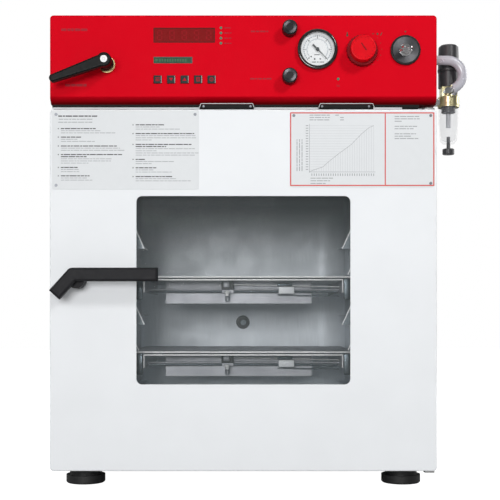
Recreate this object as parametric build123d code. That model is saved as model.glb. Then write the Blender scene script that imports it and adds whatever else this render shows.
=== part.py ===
"""Bench-top vacuum oven, 53 litre class: cabinet, hinged window door, control front, racks and filter.

Millimetres. +X is to the right of someone facing the door, +Y goes back into the oven and +Z is up.
The pieces are drawn about the cabinet's own middle. At the end they are all shifted together, so that
the origin is on the floor under the middle of the whole oven, with its filter, knobs and pump flange.
"""
from build123d import *
import os
from math import cos, radians, sin, sqrt

# ---------------------------------------------------------------- cabinet
cabinet_width = 635.0
cabinet_height = 777.0
cabinet_depth = 550.0
front_depth = 40.0            # the door and the control front stand this far in front of the casing
foot_height = 28.0
sheet = 1.5                   # casing, base and back
casing_radius = 6.0
bottom_lip = 18.0
front_y = -cabinet_depth / 2
rear_y = cabinet_depth / 2
body_y = front_y + front_depth
half_width = cabinet_width / 2
foot_radius = 33.0
foot_inset = 48.5             # foot centre in from the cabinet's side
rear_foot_inset = 80.0
foot_setback = 33.0
rear_foot_setback = 60.0
foot_waist = 27.0
foot_screw = 4.0
foot_chamfer = 2.0
service_inset = 72.75         # from the cabinet's side to the opening behind the control front
service_margin = 18.0

# ---------------------------------------------------------------- chamber
chamber_width = 400.0
chamber_height = 400.0
chamber_depth = 340.0
chamber_wall = 4.0
chamber_corner = 50.0         # upright rear corners, inside
flange_width = 22.0
flange_thickness = 10.0
flange_proud = 2.0            # in front of the casing's face
seal_width = 8.0
seal_groove = 3.0
seal_inset = 7.0              # from the chamber's opening to the seal
seal_gap = 0.2
mat_thickness = 3.0
insulation_thickness = 50.0   # behind the chamber
insulation_side = 59.5        # from the cabinet's side to the insulation
insulation_floor = 40.0       # from the feet's top to the insulation
insulation_roof = 48.0        # from the insulation to the control front
air_gap = 1.0
frame_sheet = 2.0
port_bore = 12.0              # radius of the port in the chamber's back
port_wall = 2.0
port_drop = 56.0              # the port sits this far below the chamber's middle
port_stub = 30.0

# ---------------------------------------------------------------- racks and shelves
rack_levels = 5
rack_pitch = 64.0
rack_foot = 33.3              # from the chamber's floor to the lowest shelf place
rails_below_upper_shelf_count = 3
rails_below_lower_shelf_count = 1
rail_sheet = 1.5
rail_reach = 16.0
rail_setback = 12.0           # behind the chamber's mouth
rail_depth = 275.0
gusset = 12.0
shelf_clearance = 10.0        # from a shelf's edge to the chamber's wall
shelf_setback = 27.0
shelf_depth = 280.0
shelf_sheet = 2.0
shelf_gap = 0.2               # running gap over the rails
tray_inset = 20.0             # from a shelf's edge to its tray
tray_drop = 28.0
tray_gap = 3.2
hanger_inset = 41.5           # from the tray's edge to the cross plate's end
hanger_drop = 46.0
hanger_setback = 64.0
hanger_shift = -8.0
clamp_size = 20.0
clamp_x = -27.0
clamp_screw_radius = 3.0
clamp_screw_drop = 14.0
rod_radius = 2.0
rod_drop = 22.0
spacer_width = 12.0
tab_x = 74.6
tab_width = 27.6
tab_height = 13.6

# ---------------------------------------------------------------- door
door_thickness = 36.0
door_bottom_gap = 1.0
door_panel_gap = 9.8          # from the door up to the control front
door_sheet = 2.0
door_radius = 6.0
window_width = 351.0
window_height = 309.0
window_radius = 9.4
shield_thickness = 4.0
shield_overlap = 8.0
tube_gap = 2.0
frame_gap = 0.5
glass_lap = 23.0              # the glass goes this far past the chamber's mouth
glass_thickness = 8.0
glass_gap = 2.0
glass_radius = 20.0
spring_length = 7.0
spring_radius = 4.0
spring_wall = 1.0
clip_size = 8.0
clip_grip = 5.0
hinge_inset = 9.5
hinge_back = 17.0             # behind the door's face
hinge_pin_radius = 4.0
hinge_plate = 3.0
hinge_plate_width = 18.0
hinge_pin_length = 18.0
hinge_flange = 22.0
pivot_gap = 0.05
door_range = 110.0
info_plate_width = 240.8
info_plate_height = 129.3
chart_plate_width = 237.2
chart_plate_height = 124.0
plate_thickness = 0.8
plate_inset = 4.0
plate_top_inset = 2.0
plate_radius = 2.0
chart_radius = 5.0
rivet_radius = 1.6
rivet_inset = 6.5

# ---------------------------------------------------------------- door handle
handle_inset = 47.5           # from the door's left edge to the spindle
handle_rise = 16.3            # above the door's middle
handle_bar_rise = 24.4
handle_width = 21.8
handle_thickness = 14.0
handle_right_inset = 180.4
handle_bend_inset = 44.0
handle_tail = 44.0
handle_bend_angle = 48.0
handle_proud = 46.0
handle_spindle = 7.0
handle_boss = 14.0
handle_edge = 4.0
handle_gap = 1.0
cam_thickness = 5.0
cam_length = 34.0

# ---------------------------------------------------------------- control front
panel_height = 144.8
panel_chamfer_up = 10.7
panel_chamfer_back = 12.0
panel_sheet = 2.0
panel_edge = 3.0
notch_gap = 0.5
trim_drop = 4.8
trim_setback = 3.0
catch_width = 84.0
catch_insets = (344.3, 150.1)  # from the right side to the middle of each catch
catch_drop = 8.9
catch_lip = 1.0
catch_depth = 4.0
catch_screw = 1.8
back_screw = 3.0
screw_head = 1.0

# insets are from the left side of the panel for the left group and from its right side for the
# right group, and rises are from its lower edge
display_width, display_height, display_inset, display_rise = 101.0, 24.7, 220.5, 111.6
lcd_width, lcd_height, lcd_inset, lcd_rise = 63.8, 10.8, 202.1, 70.8
window_lip = 3.0
window_lip_sheet = 2.0
pane_radius = 1.0
led_radius = 2.2
led_inset, led_rise = 280.7, 111.0
led_proud = 0.6
led_pitch = 8.4
led_count = 4
heating_led_inset, heating_led_rise = 162.1, 39.7
button_names = ("menu_button", "down_button", "up_button", "enter_button", "timer_button")
button_inset, button_rise = 177.0, 38.9
button_pitch = 22.1
button_size = 13.0
button_gap = 0.3
button_proud = 2.0
button_travel = 1.2
button_lip = 1.0
button_lip_sheet = 1.2
button_edge = 0.8
button_stem = 2.5
board_setback = 13.0
board_sheet = 1.6
board_margin = 13.0
post_radius = 3.0
post_inset = 5.0
switch_size = 12.0
switch_height = 4.0
lamp_board = 16.0

gauge_inset, gauge_rise = 196.2, 87.7
gauge_bezel = 33.0
gauge_dial = 27.5
gauge_body = 28.8
gauge_proud = 8.0
gauge_depth = 25.0
gauge_edge = 2.5
gauge_socket = 7.0
gauge_socket_length = 15.0
dial_setback = 6.0            # from the bezel's front to the dial
dial_sheet = 1.0
glass_setback = 1.0
glass_sheet = 1.5
arbor_radius = 1.5
arbor_reach = 5.0
pointer_angle = -45.0
pointer_setback = 3.5
pointer_sheet = 0.6
pointer_hub = 3.0
pointer_hub_proud = 0.4
pointer_tip, pointer_tail, pointer_neck = 22.0, 11.0, 4.0
pointer_point, pointer_root, pointer_wide = 0.35, 1.1, 1.6   # half widths along the hand
knob_inset = 242.0
knob_rises = (119.8, 41.8)
knob_chamfer = 1.5
knob_radius = 12.2
knob_length = 19.0
knob_gap = 2.0
knob_shaft = 3.0
shaft_gap = 0.05
thermostat_inset, thermostat_rise = 123.5, 85.0
thermostat_cap = 20.5
thermostat_skirt = 24.5
thermostat_length = 24.0
skirt_length = 7.0
skirt_notches = 24
skirt_notch = 1.2
thermostat_slot = 2.4
thermostat_slot_depth = 2.0
thermostat_case = 36.0
key_inset, key_rise = 51.9, 86.7
key_bezel = 24.5
key_barrel = 10.0
key_proud = 4.0
key_bow = 9.0
key_hole = 2.2
key_blade = 6.0               # length of blade that shows
key_blade_width = 7.0
key_sheet = 2.2
barrel_proud = 3.0
barrel_wall = 1.0
lever_inset, lever_rise = 94.5, 61.8
lever_collar = 13.5
lever_hub = 11.5
lever_length = 87.0
lever_root = 20.0
lever_tip = 12.3
lever_angle = 20.0
lever_proud = 46.0
lever_thickness = 13.0
lever_cap = 5.3
lever_cap_depth = 2.0
lever_cap_proud = 0.8
lever_edge = 3.0
lever_collar_height = 8.0
valve_neck = 10.5
valve_radius = 16.5
valve_depth = 46.0
valve_stem = 4.0
stem_reach = 29.0
pipe_radius = 8.0
pipe_wall = 3.0
valve_branch = 30.0
branch_setback = 24.0

# ---------------------------------------------------------------- filter regulator on the right side
filter_reach = 34.5           # from the casing to the filter's axis
filter_setback = 80.0         # behind the oven's front
bowl_radius = 17.0
bowl_wall = 2.2
bowl_rise = 8.3               # from the control front's lower edge to the bowl's top
bowl_height = 62.0
bowl_taper = 2.4
bowl_bottom_taper = 4.0
bowl_bottom_rise = 5.0
baffle_gap = 3.0
baffle_height = 9.0
baffle_stem = 4.0
baffle_stem_length = 25.0
head_radius = 18.0
head_ring = 17.0
head_height = 34.0
regulator_radius = 17.2
regulator_height = 26.0
regulator_gap = 0.4
cap_radius = 18.0
cap_height = 46.0
cap_taper = 1.2
drain_radius = 10.0
drain_height = 9.8
drain_stem = 3.0
drain_gap = 8.7               # from the drain knob to the bowl
drain_edge = 1.5
drain_lobe = 1.5
drain_stem_reach = 12.0
hose_radius = 7.9
hose_bore = 5.5
hose_bend = 25.0
hose_gap = 1.2                # between the hose and the regulator behind it
hose_x_centre = 27.5          # from the casing to the middle of the bend
hose_rise = 49.8              # from the bowl's top to the middle of the bend
hose_sweep = 160.0
collar_height = 4.0
collar_wall = 2.0
barb_length = 12.0
barb_slack = 0.7
barb_grip = 2.0
elbow_radius = 5.5
elbow_reach = 9.0             # from the hose's end to the elbow's middle
plug_radius = 4.5
plug_proud = 5.0
plug_shift = 6.5
plug_drop = 12.3
head_block = 13.0
cap_neck = 4.0
cap_neck_height = 8.0
cap_edge = 3.0
bracket_width = 44.0
bracket_low, bracket_high = 14.0, 44.0
bracket_arm = 16.0
bracket_arm_height = 10.0
thread_length = 6.0
drain_lobes = 6

# ---------------------------------------------------------------- back
pump_port_reach = 26.0
pump_port_radius = 20.0
pump_port_bore = 12.0
pump_port_flange = 6.0
gas_port_reach = 20.0
gas_port_radius = 6.0
tube_wall = 2.0
valve_to_port = 14.0
mains_inlet_inset, mains_inlet_rise = 77.5, 92.0
inlet_pins = ((-7.0, -3.0), (0.0, 4.0), (7.0, -3.0))
inlet_pin_width = 2.0
inlet_pin_height = 6.0
inlet_size = 30.0
inlet_rim = 6.0
inlet_depth = 24.0
vent_count = 9
vent_pitch = 10.0
vent_length = 120.0
vent_drop = 32.2              # from the control front's lower edge to the top vent
line_inset = 30.0             # gas line in from the cabinet's side

# places worked out from the sizes above
panel_bottom = cabinet_height - panel_height
door_bottom = foot_height + door_bottom_gap
door_top = panel_bottom - door_panel_gap
door_height = door_top - door_bottom
door_z = (door_top + door_bottom) / 2
door_rear = front_y + door_thickness
flange_y = body_y - flange_proud
glass_rear = door_rear - glass_gap
half_chamber = chamber_width / 2
chamber_z = door_z            # height of the chamber's middle
chamber_back = flange_y + chamber_depth
chamber_bottom = chamber_z - chamber_height / 2
chamber_top = chamber_z + chamber_height / 2
mouth_width = chamber_width + 2 * flange_width
mouth_height = chamber_height + 2 * flange_width
glass_width = chamber_width + 2 * glass_lap
glass_height = chamber_height + 2 * glass_lap
port_z = chamber_z - port_drop
first_level = chamber_bottom + rack_foot
handle_x = -half_width + handle_inset
handle_z = door_z + handle_rise
handle_bar_z = door_z + handle_bar_rise
handle_right = -half_width + handle_right_inset
handle_bend = -half_width + handle_bend_inset
hinge_x = half_width - hinge_inset
hinge_y = front_y + hinge_back
casing_height = cabinet_height - foot_height
casing_z = foot_height + casing_height / 2
panel_back = body_y
catch_centres = [half_width - inset for inset in catch_insets]
catch_z = panel_bottom - catch_drop
display_x, display_z = -half_width + display_inset, panel_bottom + display_rise
lcd_x, lcd_z = -half_width + lcd_inset, panel_bottom + lcd_rise
led_x, led_z = -half_width + led_inset, panel_bottom + led_rise
heating_led_x, heating_led_z = half_width - heating_led_inset, panel_bottom + heating_led_rise
button_x, button_z = -half_width + button_inset, panel_bottom + button_rise
board_y = front_y + board_setback
gauge_x, gauge_z = half_width - gauge_inset, panel_bottom + gauge_rise
knob_x = half_width - knob_inset
knob_heights = [panel_bottom + rise for rise in knob_rises]
thermostat_x, thermostat_z = half_width - thermostat_inset, panel_bottom + thermostat_rise
key_x, key_z = half_width - key_inset, panel_bottom + key_rise
lever_x, lever_z = -half_width + lever_inset, panel_bottom + lever_rise
mains_inlet_x, mains_inlet_z = half_width - mains_inlet_inset, foot_height + mains_inlet_rise
vent_top = panel_bottom - vent_drop
bowl_top = panel_bottom + bowl_rise
drain_top = bowl_top - bowl_height - drain_gap
hose_z = bowl_top + hose_rise
filter_x = half_width + filter_reach
filter_y = front_y + filter_setback
head_top = bowl_top + head_height
regulator_bottom = head_top
regulator_top = regulator_bottom + regulator_height
hose_y = filter_y - cap_radius - hose_gap - hose_radius
hose_x = half_width + hose_x_centre

nodes = {}


def facing(x, y, z):
    """A plane that looks out of the front of the oven."""
    return Plane(origin=(x, y, z), x_dir=(1, 0, 0), z_dir=(0, -1, 0))


def block(x0, x1, y0, y1, z0, z1):
    return Pos((x0 + x1) / 2, (y0 + y1) / 2, (z0 + z1) / 2) * Box(x1 - x0, y1 - y0, z1 - z0)


def panel(width, height, radius, y0, y1, x, z):
    """A plate facing the front, from y0 back to y1, with rounded corners if radius isn't 0."""
    outline = RectangleRounded(width, height, radius) if radius else Rectangle(width, height)
    return extrude(facing(x, y0, z) * outline, amount=y0 - y1)


def disc(radius, y0, y1, x, z):
    return extrude(facing(x, y0, z) * Circle(radius), amount=y0 - y1)


def upright(radius, z0, z1, x, y):
    return Pos(x, y, (z0 + z1) / 2) * Cylinder(radius, z1 - z0)


def crosswise(radius, x0, x1, y, z):
    return Pos((x0 + x1) / 2, y, z) * Rot(0, 90, 0) * Cylinder(radius, x1 - x0)


def pipe(radius, *points):
    """Straight tubes between points, with ball corners, as one solid."""
    solid = None
    for a, b in zip(points, points[1:]):
        start, step = Vector(*a), Vector(*b) - Vector(*a)
        run = extrude(Plane(origin=start, z_dir=step) * Circle(radius), amount=step.length)
        solid = run if solid is None else solid + run + Pos(*a) * Sphere(radius)
    return solid


def keep(name, *solids):
    """Write one node: a single solid, or a group of separate ones."""
    shapes = [s for shape in solids for s in shape.solids()]
    nodes[name] = shapes[0] if len(shapes) == 1 else Compound(children=shapes)


def make_casing():
    outer = panel(cabinet_width, casing_height, casing_radius, body_y, rear_y - sheet, 0, casing_z)
    inner = panel(cabinet_width - 2 * sheet, casing_height - 2 * sheet, casing_radius - sheet,
                  body_y, rear_y - sheet, 0, casing_z)
    lips = half_width - bottom_lip
    below = block(-lips, lips, body_y, rear_y, foot_height - sheet, foot_height + sheet)
    casing = outer - inner - below
    hose_hole = crosswise(hose_bore, half_width - 2 * sheet, half_width + sheet, hose_y,
                          hose_z + hose_bend)
    keep("outer_casing", casing - hose_hole)

    floor_z = foot_height + sheet
    base_half = half_width - casing_radius
    base = block(-base_half, base_half, body_y + frame_sheet, rear_y - sheet,
                 floor_z, floor_z + sheet)
    feet = []
    for side in (-1, 1):
        for inset, y in ((foot_inset, body_y + foot_setback),
                         (rear_foot_inset, rear_y - rear_foot_setback)):
            x = side * (half_width - inset)
            base -= upright(foot_screw, floor_z, floor_z + sheet, x, y)
            pad = upright(foot_radius, 0, foot_height / 2, x, y)
            neck = upright(foot_waist, foot_height / 2, foot_height, x, y)
            stud = upright(foot_screw, foot_height, floor_z + 2 * sheet, x, y)
            spacer = upright(foot_waist, foot_height, floor_z, x, y)
            feet.append(chamfer((pad + neck).edges().group_by(Axis.Z)[0], foot_chamfer) + spacer + stud)
    keep("base_plate", base)
    keep("feet", *feet)


def make_back():
    back = panel(cabinet_width, casing_height, casing_radius, rear_y - sheet, rear_y, 0, casing_z)
    for row in range(vent_count):
        for side in (-1, 1):
            z = vent_top - row * vent_pitch
            back -= panel(vent_length, vent_pitch / 2, vent_pitch / 5, rear_y - sheet, rear_y,
                          side * vent_length, z)
    back -= disc(pump_port_bore + port_wall, rear_y - sheet, rear_y, lever_x, lever_z)
    back -= disc(gas_port_radius, rear_y - sheet, rear_y, knob_x, knob_heights[1])
    back -= panel(inlet_size, inlet_size, window_lip, rear_y - sheet, rear_y,
                  mains_inlet_x, mains_inlet_z)
    keep("rear_panel", back)
    inlet = panel(inlet_size, inlet_size, window_lip, rear_y - inlet_depth, rear_y + sheet,
                  mains_inlet_x, mains_inlet_z)
    inlet += panel(inlet_size + inlet_rim, inlet_size + inlet_rim, window_lip, rear_y, rear_y + sheet,
                   mains_inlet_x, mains_inlet_z)
    socket = panel(inlet_size - inlet_rim, inlet_size - inlet_rim, window_lip,
                   rear_y - inlet_depth / 2, rear_y + sheet, mains_inlet_x, mains_inlet_z)
    inlet -= socket
    half_pin = inlet_pin_width / 2
    for x, z in inlet_pins:
        inlet += block(mains_inlet_x + x - half_pin, mains_inlet_x + x + half_pin,
                       rear_y - inlet_depth / 2 - half_pin, rear_y - inlet_pin_width,
                       mains_inlet_z + z - inlet_pin_height / 2, mains_inlet_z + z + inlet_pin_height / 2)
    keep("mains_inlet", inlet)


def make_front_frame():
    frame_height = casing_height - 2 * sheet
    frame = panel(cabinet_width - 2 * sheet, frame_height, casing_radius - sheet,
                  body_y, body_y + frame_sheet, 0, casing_z)
    frame -= panel(mouth_width, mouth_height, glass_radius, body_y, body_y + frame_sheet, 0, chamber_z)
    service_z = panel_bottom + panel_height / 2
    frame -= panel(cabinet_width - 2 * service_inset, panel_height - 2 * service_margin,
                   window_radius, body_y, body_y + frame_sheet, 0, service_z)
    keep("front_frame", frame)


def make_chamber():
    shell = block(-half_chamber - chamber_wall, half_chamber + chamber_wall,
                  flange_y, chamber_back + chamber_wall,
                  chamber_bottom - chamber_wall, chamber_top + chamber_wall)
    shell = fillet(shell.edges().filter_by(Axis.Z).group_by(Axis.Y)[-1],
                   chamber_corner + chamber_wall)
    room = block(-half_chamber, half_chamber, flange_y, chamber_back, chamber_bottom, chamber_top)
    room = fillet(room.edges().filter_by(Axis.Z).group_by(Axis.Y)[-1], chamber_corner)
    mouth = panel(mouth_width, mouth_height, glass_radius, flange_y, flange_y + flange_thickness,
                  0, chamber_z)
    port = disc(port_bore + port_wall, chamber_back, chamber_back + port_stub, 0, port_z)
    bore = disc(port_bore, chamber_back, chamber_back + port_stub, 0, port_z)
    groove = seal_ring(flange_y, flange_y + seal_groove)
    keep("inner_chamber", shell + mouth + port - room - bore - groove)
    keep("door_seal", seal_ring(glass_rear + seal_gap, flange_y + seal_groove))


def seal_ring(y0, y1):
    inner, outer = 2 * seal_inset, 2 * (seal_inset + seal_width)
    return (panel(chamber_width + outer, chamber_height + outer, glass_radius - seal_width / 2,
                  y0, y1, 0, chamber_z)
            - panel(chamber_width + inner, chamber_height + inner, glass_radius - seal_width,
                    y0, y1, 0, chamber_z))


def make_heating():
    side_x = half_chamber + chamber_wall
    top_z, bottom_z = chamber_top + chamber_wall, chamber_bottom - chamber_wall
    y0, y1 = flange_y + 2 * flange_width, chamber_back - chamber_corner
    mats = [block(*sorted((s * side_x, s * (side_x + mat_thickness))), y0, y1,
                  chamber_bottom + flange_width, chamber_top - flange_width) for s in (-1, 1)]
    for z in (top_z, bottom_z - mat_thickness):
        mats.append(block(-half_chamber + flange_width, half_chamber - flange_width, y0, y1,
                          z, z + mat_thickness))
    keep("heating_mats", *mats)

    inner, side = side_x + mat_thickness + air_gap, half_width - insulation_side
    across = inner - air_gap
    y0 = flange_y + flange_thickness + air_gap
    rear = chamber_back + chamber_wall + air_gap
    y1 = rear + insulation_thickness
    high, low = top_z + mat_thickness + air_gap, bottom_z - mat_thickness - air_gap
    roof, floor = panel_bottom - insulation_roof, foot_height + insulation_floor
    slabs = [block(*sorted((s * inner, s * side)), y0, y1, floor, roof) for s in (-1, 1)]
    slabs.append(block(-across, across, y0, y1, high, roof))
    slabs.append(block(-across, across, y0, y1, floor, low))
    back = block(-across, across, rear, y1, low + air_gap, high - air_gap)
    port = disc(port_bore + port_wall + air_gap, rear, y1, 0, port_z)
    keep("chamber_insulation", *slabs, back - port)


def shelf_height(level):
    return first_level + level * rack_pitch


def make_racks():
    y0 = flange_y + rail_setback
    y1 = y0 + rail_depth
    low = first_level - rack_pitch / 4
    high = shelf_height(rack_levels - 1) + rack_pitch / 4
    racks = []
    for side in (-1, 1):
        wall, inside = side * half_chamber, side * (half_chamber - rail_sheet)
        rack = block(*sorted((wall, inside)), y0, y1, low, high)
        edge = side * (half_chamber - rail_reach)
        for level in range(rack_levels):
            top = shelf_height(level) - shelf_sheet - shelf_gap
            rack += block(*sorted((edge, inside)), y0, y1, top - rail_sheet, top)
            brace = Polygon((inside, top), (edge, top), (inside, top - gusset), align=None)
            rack += extrude(facing(0, y0, 0) * brace, amount=rail_sheet, dir=(0, 1, 0))
        racks.append(rack)
    keep("rack_rails", *racks)


def make_shelf(name, level):
    """A plate over a flanged tray, with a cross plate, a rod and a clamp hanging under it."""
    top = shelf_height(level)
    half = half_chamber - shelf_clearance
    y0 = flange_y + shelf_setback
    y1 = y0 + shelf_depth
    plate = block(-half, half, y0, y1, top - shelf_sheet, top)

    tray_top = top - shelf_sheet - tray_gap
    tray_half, foot = half - tray_inset, top - tray_drop
    tray = block(-tray_half, tray_half, y0, y1, tray_top - shelf_sheet, tray_top)
    for side in (-1, 1):
        tray += block(*sorted((side * tray_half, side * (tray_half - shelf_sheet))), y0, y1,
                      foot, tray_top)
        spacer = side * (tray_half - 2 * spacer_width)
        tray += block(spacer - spacer_width / 2, spacer + spacer_width / 2, y0 + spacer_width, y1,
                      tray_top, top - shelf_sheet)
    rod_y = y0 + hanger_setback - 2 * rod_radius
    rod_z = top - rod_drop
    rod_end = tray_half + rod_radius
    rod = crosswise(rod_radius, -rod_end, rod_end, rod_y, rod_z)

    left = hanger_shift - tray_half + hanger_inset
    right = hanger_shift + tray_half - hanger_inset
    hanger_y = y0 + hanger_setback
    under = tray_top - shelf_sheet
    hanger = block(left, right, hanger_y, hanger_y + shelf_sheet, top - hanger_drop, under)
    clamp_y = hanger_y - clamp_size * 0.7
    clamp = block(clamp_x - clamp_size / 2, clamp_x + clamp_size / 2, clamp_y, hanger_y,
                  under - clamp_size, under)
    screw = upright(clamp_screw_radius, under - clamp_size - clamp_screw_drop, under - clamp_size,
                    clamp_x, clamp_y + clamp_size * 0.35)
    tab = block(tab_x - tab_width / 2, tab_x + tab_width / 2, hanger_y - shelf_sheet, hanger_y,
                rod_z - rod_radius - tab_height, rod_z - rod_radius)
    keep(name, plate, tray - rod, rod - clamp, hanger, clamp, screw, tab)


def make_door():
    shell = panel(cabinet_width, door_height, door_radius, front_y, door_rear, 0, door_z)
    shell = fillet(shell.faces().sort_by(Axis.Y)[0].edges(), door_sheet)
    inside_width = cabinet_width - 2 * door_sheet
    inside_height = door_height - 2 * door_sheet
    shell -= panel(inside_width, inside_height, door_radius - door_sheet,
                   front_y + door_sheet, door_rear, 0, door_z)
    shell -= panel(window_width, window_height, window_radius,
                   front_y, front_y + door_sheet, 0, chamber_z)
    shell -= disc(handle_spindle + pivot_gap, front_y, front_y + door_sheet, handle_x, handle_z)
    pin_hole = upright(hinge_pin_radius + pivot_gap, door_bottom, door_top, hinge_x, hinge_y)
    keep("door_outer_shell", shell - pin_hole)

    tube_y = front_y + door_sheet + shield_thickness
    ledge_y = glass_rear - glass_thickness - spring_length
    frame = panel(inside_width - 2 * frame_gap, inside_height - 2 * frame_gap, door_radius - door_sheet,
                  door_rear - door_sheet, door_rear, 0, door_z)
    around = 2 * (glass_gap + door_sheet)
    frame += panel(glass_width + around, glass_height + around, glass_radius + glass_gap,
                   ledge_y - door_sheet, door_rear, 0, chamber_z)
    frame -= panel(glass_width + 2 * glass_gap, glass_height + 2 * glass_gap, glass_radius,
                   ledge_y, door_rear, 0, chamber_z)
    around = 2 * (tube_gap + door_sheet)
    frame += panel(window_width + around, window_height + around, window_radius + door_sheet,
                   tube_y, ledge_y, 0, chamber_z)
    frame -= panel(window_width + 2 * tube_gap, window_height + 2 * tube_gap, window_radius,
                   tube_y, ledge_y, 0, chamber_z)
    keep("door_inner_frame", frame)

    shield = panel(window_width + 2 * shield_overlap, window_height + 2 * shield_overlap,
                   window_radius, front_y + door_sheet, tube_y, 0, chamber_z)
    keep("polycarbonate_shield", shield)
    glass = panel(glass_width, glass_height, glass_radius, glass_rear - glass_thickness, glass_rear,
                  0, chamber_z)
    keep("safety_glass", glass)

    reach_x, reach_z = (size / 2 - 3 * spring_radius for size in (glass_width, glass_height))
    springs = []
    for side, up in ((-1, -1), (0, -1), (1, -1), (-1, 0), (1, 0), (-1, 1), (0, 1), (1, 1)):
        place = (ledge_y, glass_rear - glass_thickness, side * reach_x, chamber_z + up * reach_z)
        springs.append(disc(spring_radius, *place) - disc(spring_radius - spring_wall, *place))
    edge_x, edge_z = (size / 2 + glass_gap for size in (glass_width, glass_height))
    grip = panel(2 * (edge_x - clip_grip), 2 * (edge_z - clip_grip), 0, glass_rear, door_rear,
                 0, chamber_z)
    clips = []
    for side, up in ((-1, 0), (1, 0), (0, -1), (0, 1)):
        x, z = side * edge_x, chamber_z + up * edge_z
        clips.append(block(x - clip_size, x + clip_size, glass_rear, door_rear,
                           z - clip_size, z + clip_size) - grip - frame)
    keep("glass_retainers", *springs, *clips)


def make_hinges():
    pin_clear = hinge_pin_radius + pivot_gap
    inside = door_sheet
    leaf_x0, leaf_x1 = half_width - door_sheet - 2 * hinge_inset, half_width - door_sheet
    leaf_y0, leaf_y1 = front_y + door_sheet, hinge_y + hinge_inset
    cavity = panel(cabinet_width - 2 * door_sheet, door_height - 2 * door_sheet,
                   door_radius - door_sheet, leaf_y0, door_rear, 0, door_z)
    leaves = []
    for z0, z1 in ((door_bottom + inside, door_bottom + inside + hinge_pin_length),
                   (door_top - inside - hinge_pin_length, door_top - inside)):
        leaf = block(leaf_x0, leaf_x1, leaf_y0, leaf_y1, z0, z1) & cavity
        leaves.append(leaf - upright(pin_clear, z0, z1, hinge_x, hinge_y))
    keep("hinge_leaves", *leaves)

    x0 = hinge_x - hinge_plate_width / 2
    x1 = half_width - panel_sheet - notch_gap
    y0 = hinge_y - hinge_plate_width / 2
    top0 = door_top + door_bottom_gap
    low1 = foot_height
    upper = block(x0, x1, y0, body_y, top0, top0 + hinge_plate)
    upper += block(x0, x1, body_y - hinge_plate, body_y, top0, top0 + hinge_plate + hinge_flange)
    upper += upright(hinge_pin_radius, top0 - hinge_pin_length, top0, hinge_x, hinge_y)
    lower = block(x0, x1, y0, body_y + hinge_flange, low1 - hinge_plate, low1)
    lower += upright(hinge_pin_radius, low1, low1 + hinge_pin_length, hinge_x, hinge_y)
    keep("hinge_brackets", upper, lower)


def make_door_plates():
    y0 = front_y - plate_thickness
    info_x = -half_width + plate_inset + info_plate_width / 2
    info_z = door_top - plate_top_inset - info_plate_height / 2
    chart_x = half_width - plate_inset - chart_plate_width / 2
    chart_z = door_top - 2 * plate_top_inset - chart_plate_height / 2
    info = panel(info_plate_width, info_plate_height, plate_radius, y0, front_y, info_x, info_z)
    chart = panel(chart_plate_width, chart_plate_height, chart_radius, y0, front_y, chart_x, chart_z)
    rivets = []
    holes = []
    for x, z, width, height, corners in (
            (info_x, info_z, info_plate_width, info_plate_height, ((-1, 1), (1, 1), (-1, -1))),
            (chart_x, chart_z, chart_plate_width, chart_plate_height, ((-1, 1), (1, 1), (1, -1)))):
        for side, up in corners:
            rx = x + side * (width / 2 - rivet_inset)
            rz = z + up * (height / 2 - rivet_inset)
            holes.append(disc(rivet_radius, y0, front_y, rx, rz))
            rivets.append(disc(rivet_radius, y0, front_y, rx, rz)
                          + disc(rivet_radius * 1.5, y0 - plate_thickness, y0, rx, rz))
    for hole in holes:
        info, chart = info - hole, chart - hole
    keep("door_plates", info, chart)
    keep("plate_rivets", *rivets)


def make_handle():
    y0 = front_y - handle_proud
    y1 = y0 + handle_thickness
    centre_x = (handle_right + handle_bend) / 2
    bar = panel(handle_right - handle_bend, handle_width, 0, y0, y1, centre_x, handle_bar_z)
    tail = (Pos(handle_bend, 0, handle_bar_z) * Rot(0, -handle_bend_angle, 0)
            * panel(handle_tail, handle_width, 0, y0, y1, -handle_tail / 2, 0))
    elbow = disc(handle_width / 2, y0, y1, handle_bend, handle_bar_z)
    grip = bar + tail + elbow
    grip = fillet(grip.faces().sort_by(Axis.Y)[0].edges(), handle_edge)
    spindle = disc(handle_spindle, y1, glass_rear - glass_thickness - door_sheet, handle_x, handle_z)
    boss = disc(handle_boss, y1, front_y - handle_gap, handle_x, handle_z)
    keep("door_handle", grip + boss + spindle)
    cam_y = front_y + door_sheet + handle_gap
    cam = disc(2 * handle_spindle, cam_y, cam_y + cam_thickness, handle_x, handle_z)
    cam += panel(cam_length, 2 * handle_spindle, handle_spindle - 1, cam_y, cam_y + cam_thickness,
                 handle_x - cam_length / 2 + handle_spindle, handle_z)
    keep("latch_cam", cam - disc(handle_spindle, cam_y, cam_y + cam_thickness, handle_x, handle_z))


def front_shell(inset):
    """The control front's outline between its sides, each face moved in by inset, its top corners rounded."""
    y0, z1 = front_y + inset, cabinet_height - inset
    slope = inset * (sqrt(panel_chamfer_up ** 2 + panel_chamfer_back ** 2) - panel_chamfer_back) \
        / panel_chamfer_up
    outline = Polygon((y0, z1), (y0, panel_bottom + panel_chamfer_up + slope),
                      (front_y + panel_chamfer_back + slope, panel_bottom + inset),
                      (panel_back, panel_bottom + inset), (panel_back, z1), align=None)
    side = half_width - inset
    shell = extrude(Plane.YZ.offset(-side) * outline, amount=2 * side)
    return fillet(shell.edges().filter_by(Axis.Y).group_by(Axis.Z)[-1], casing_radius - inset)


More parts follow.
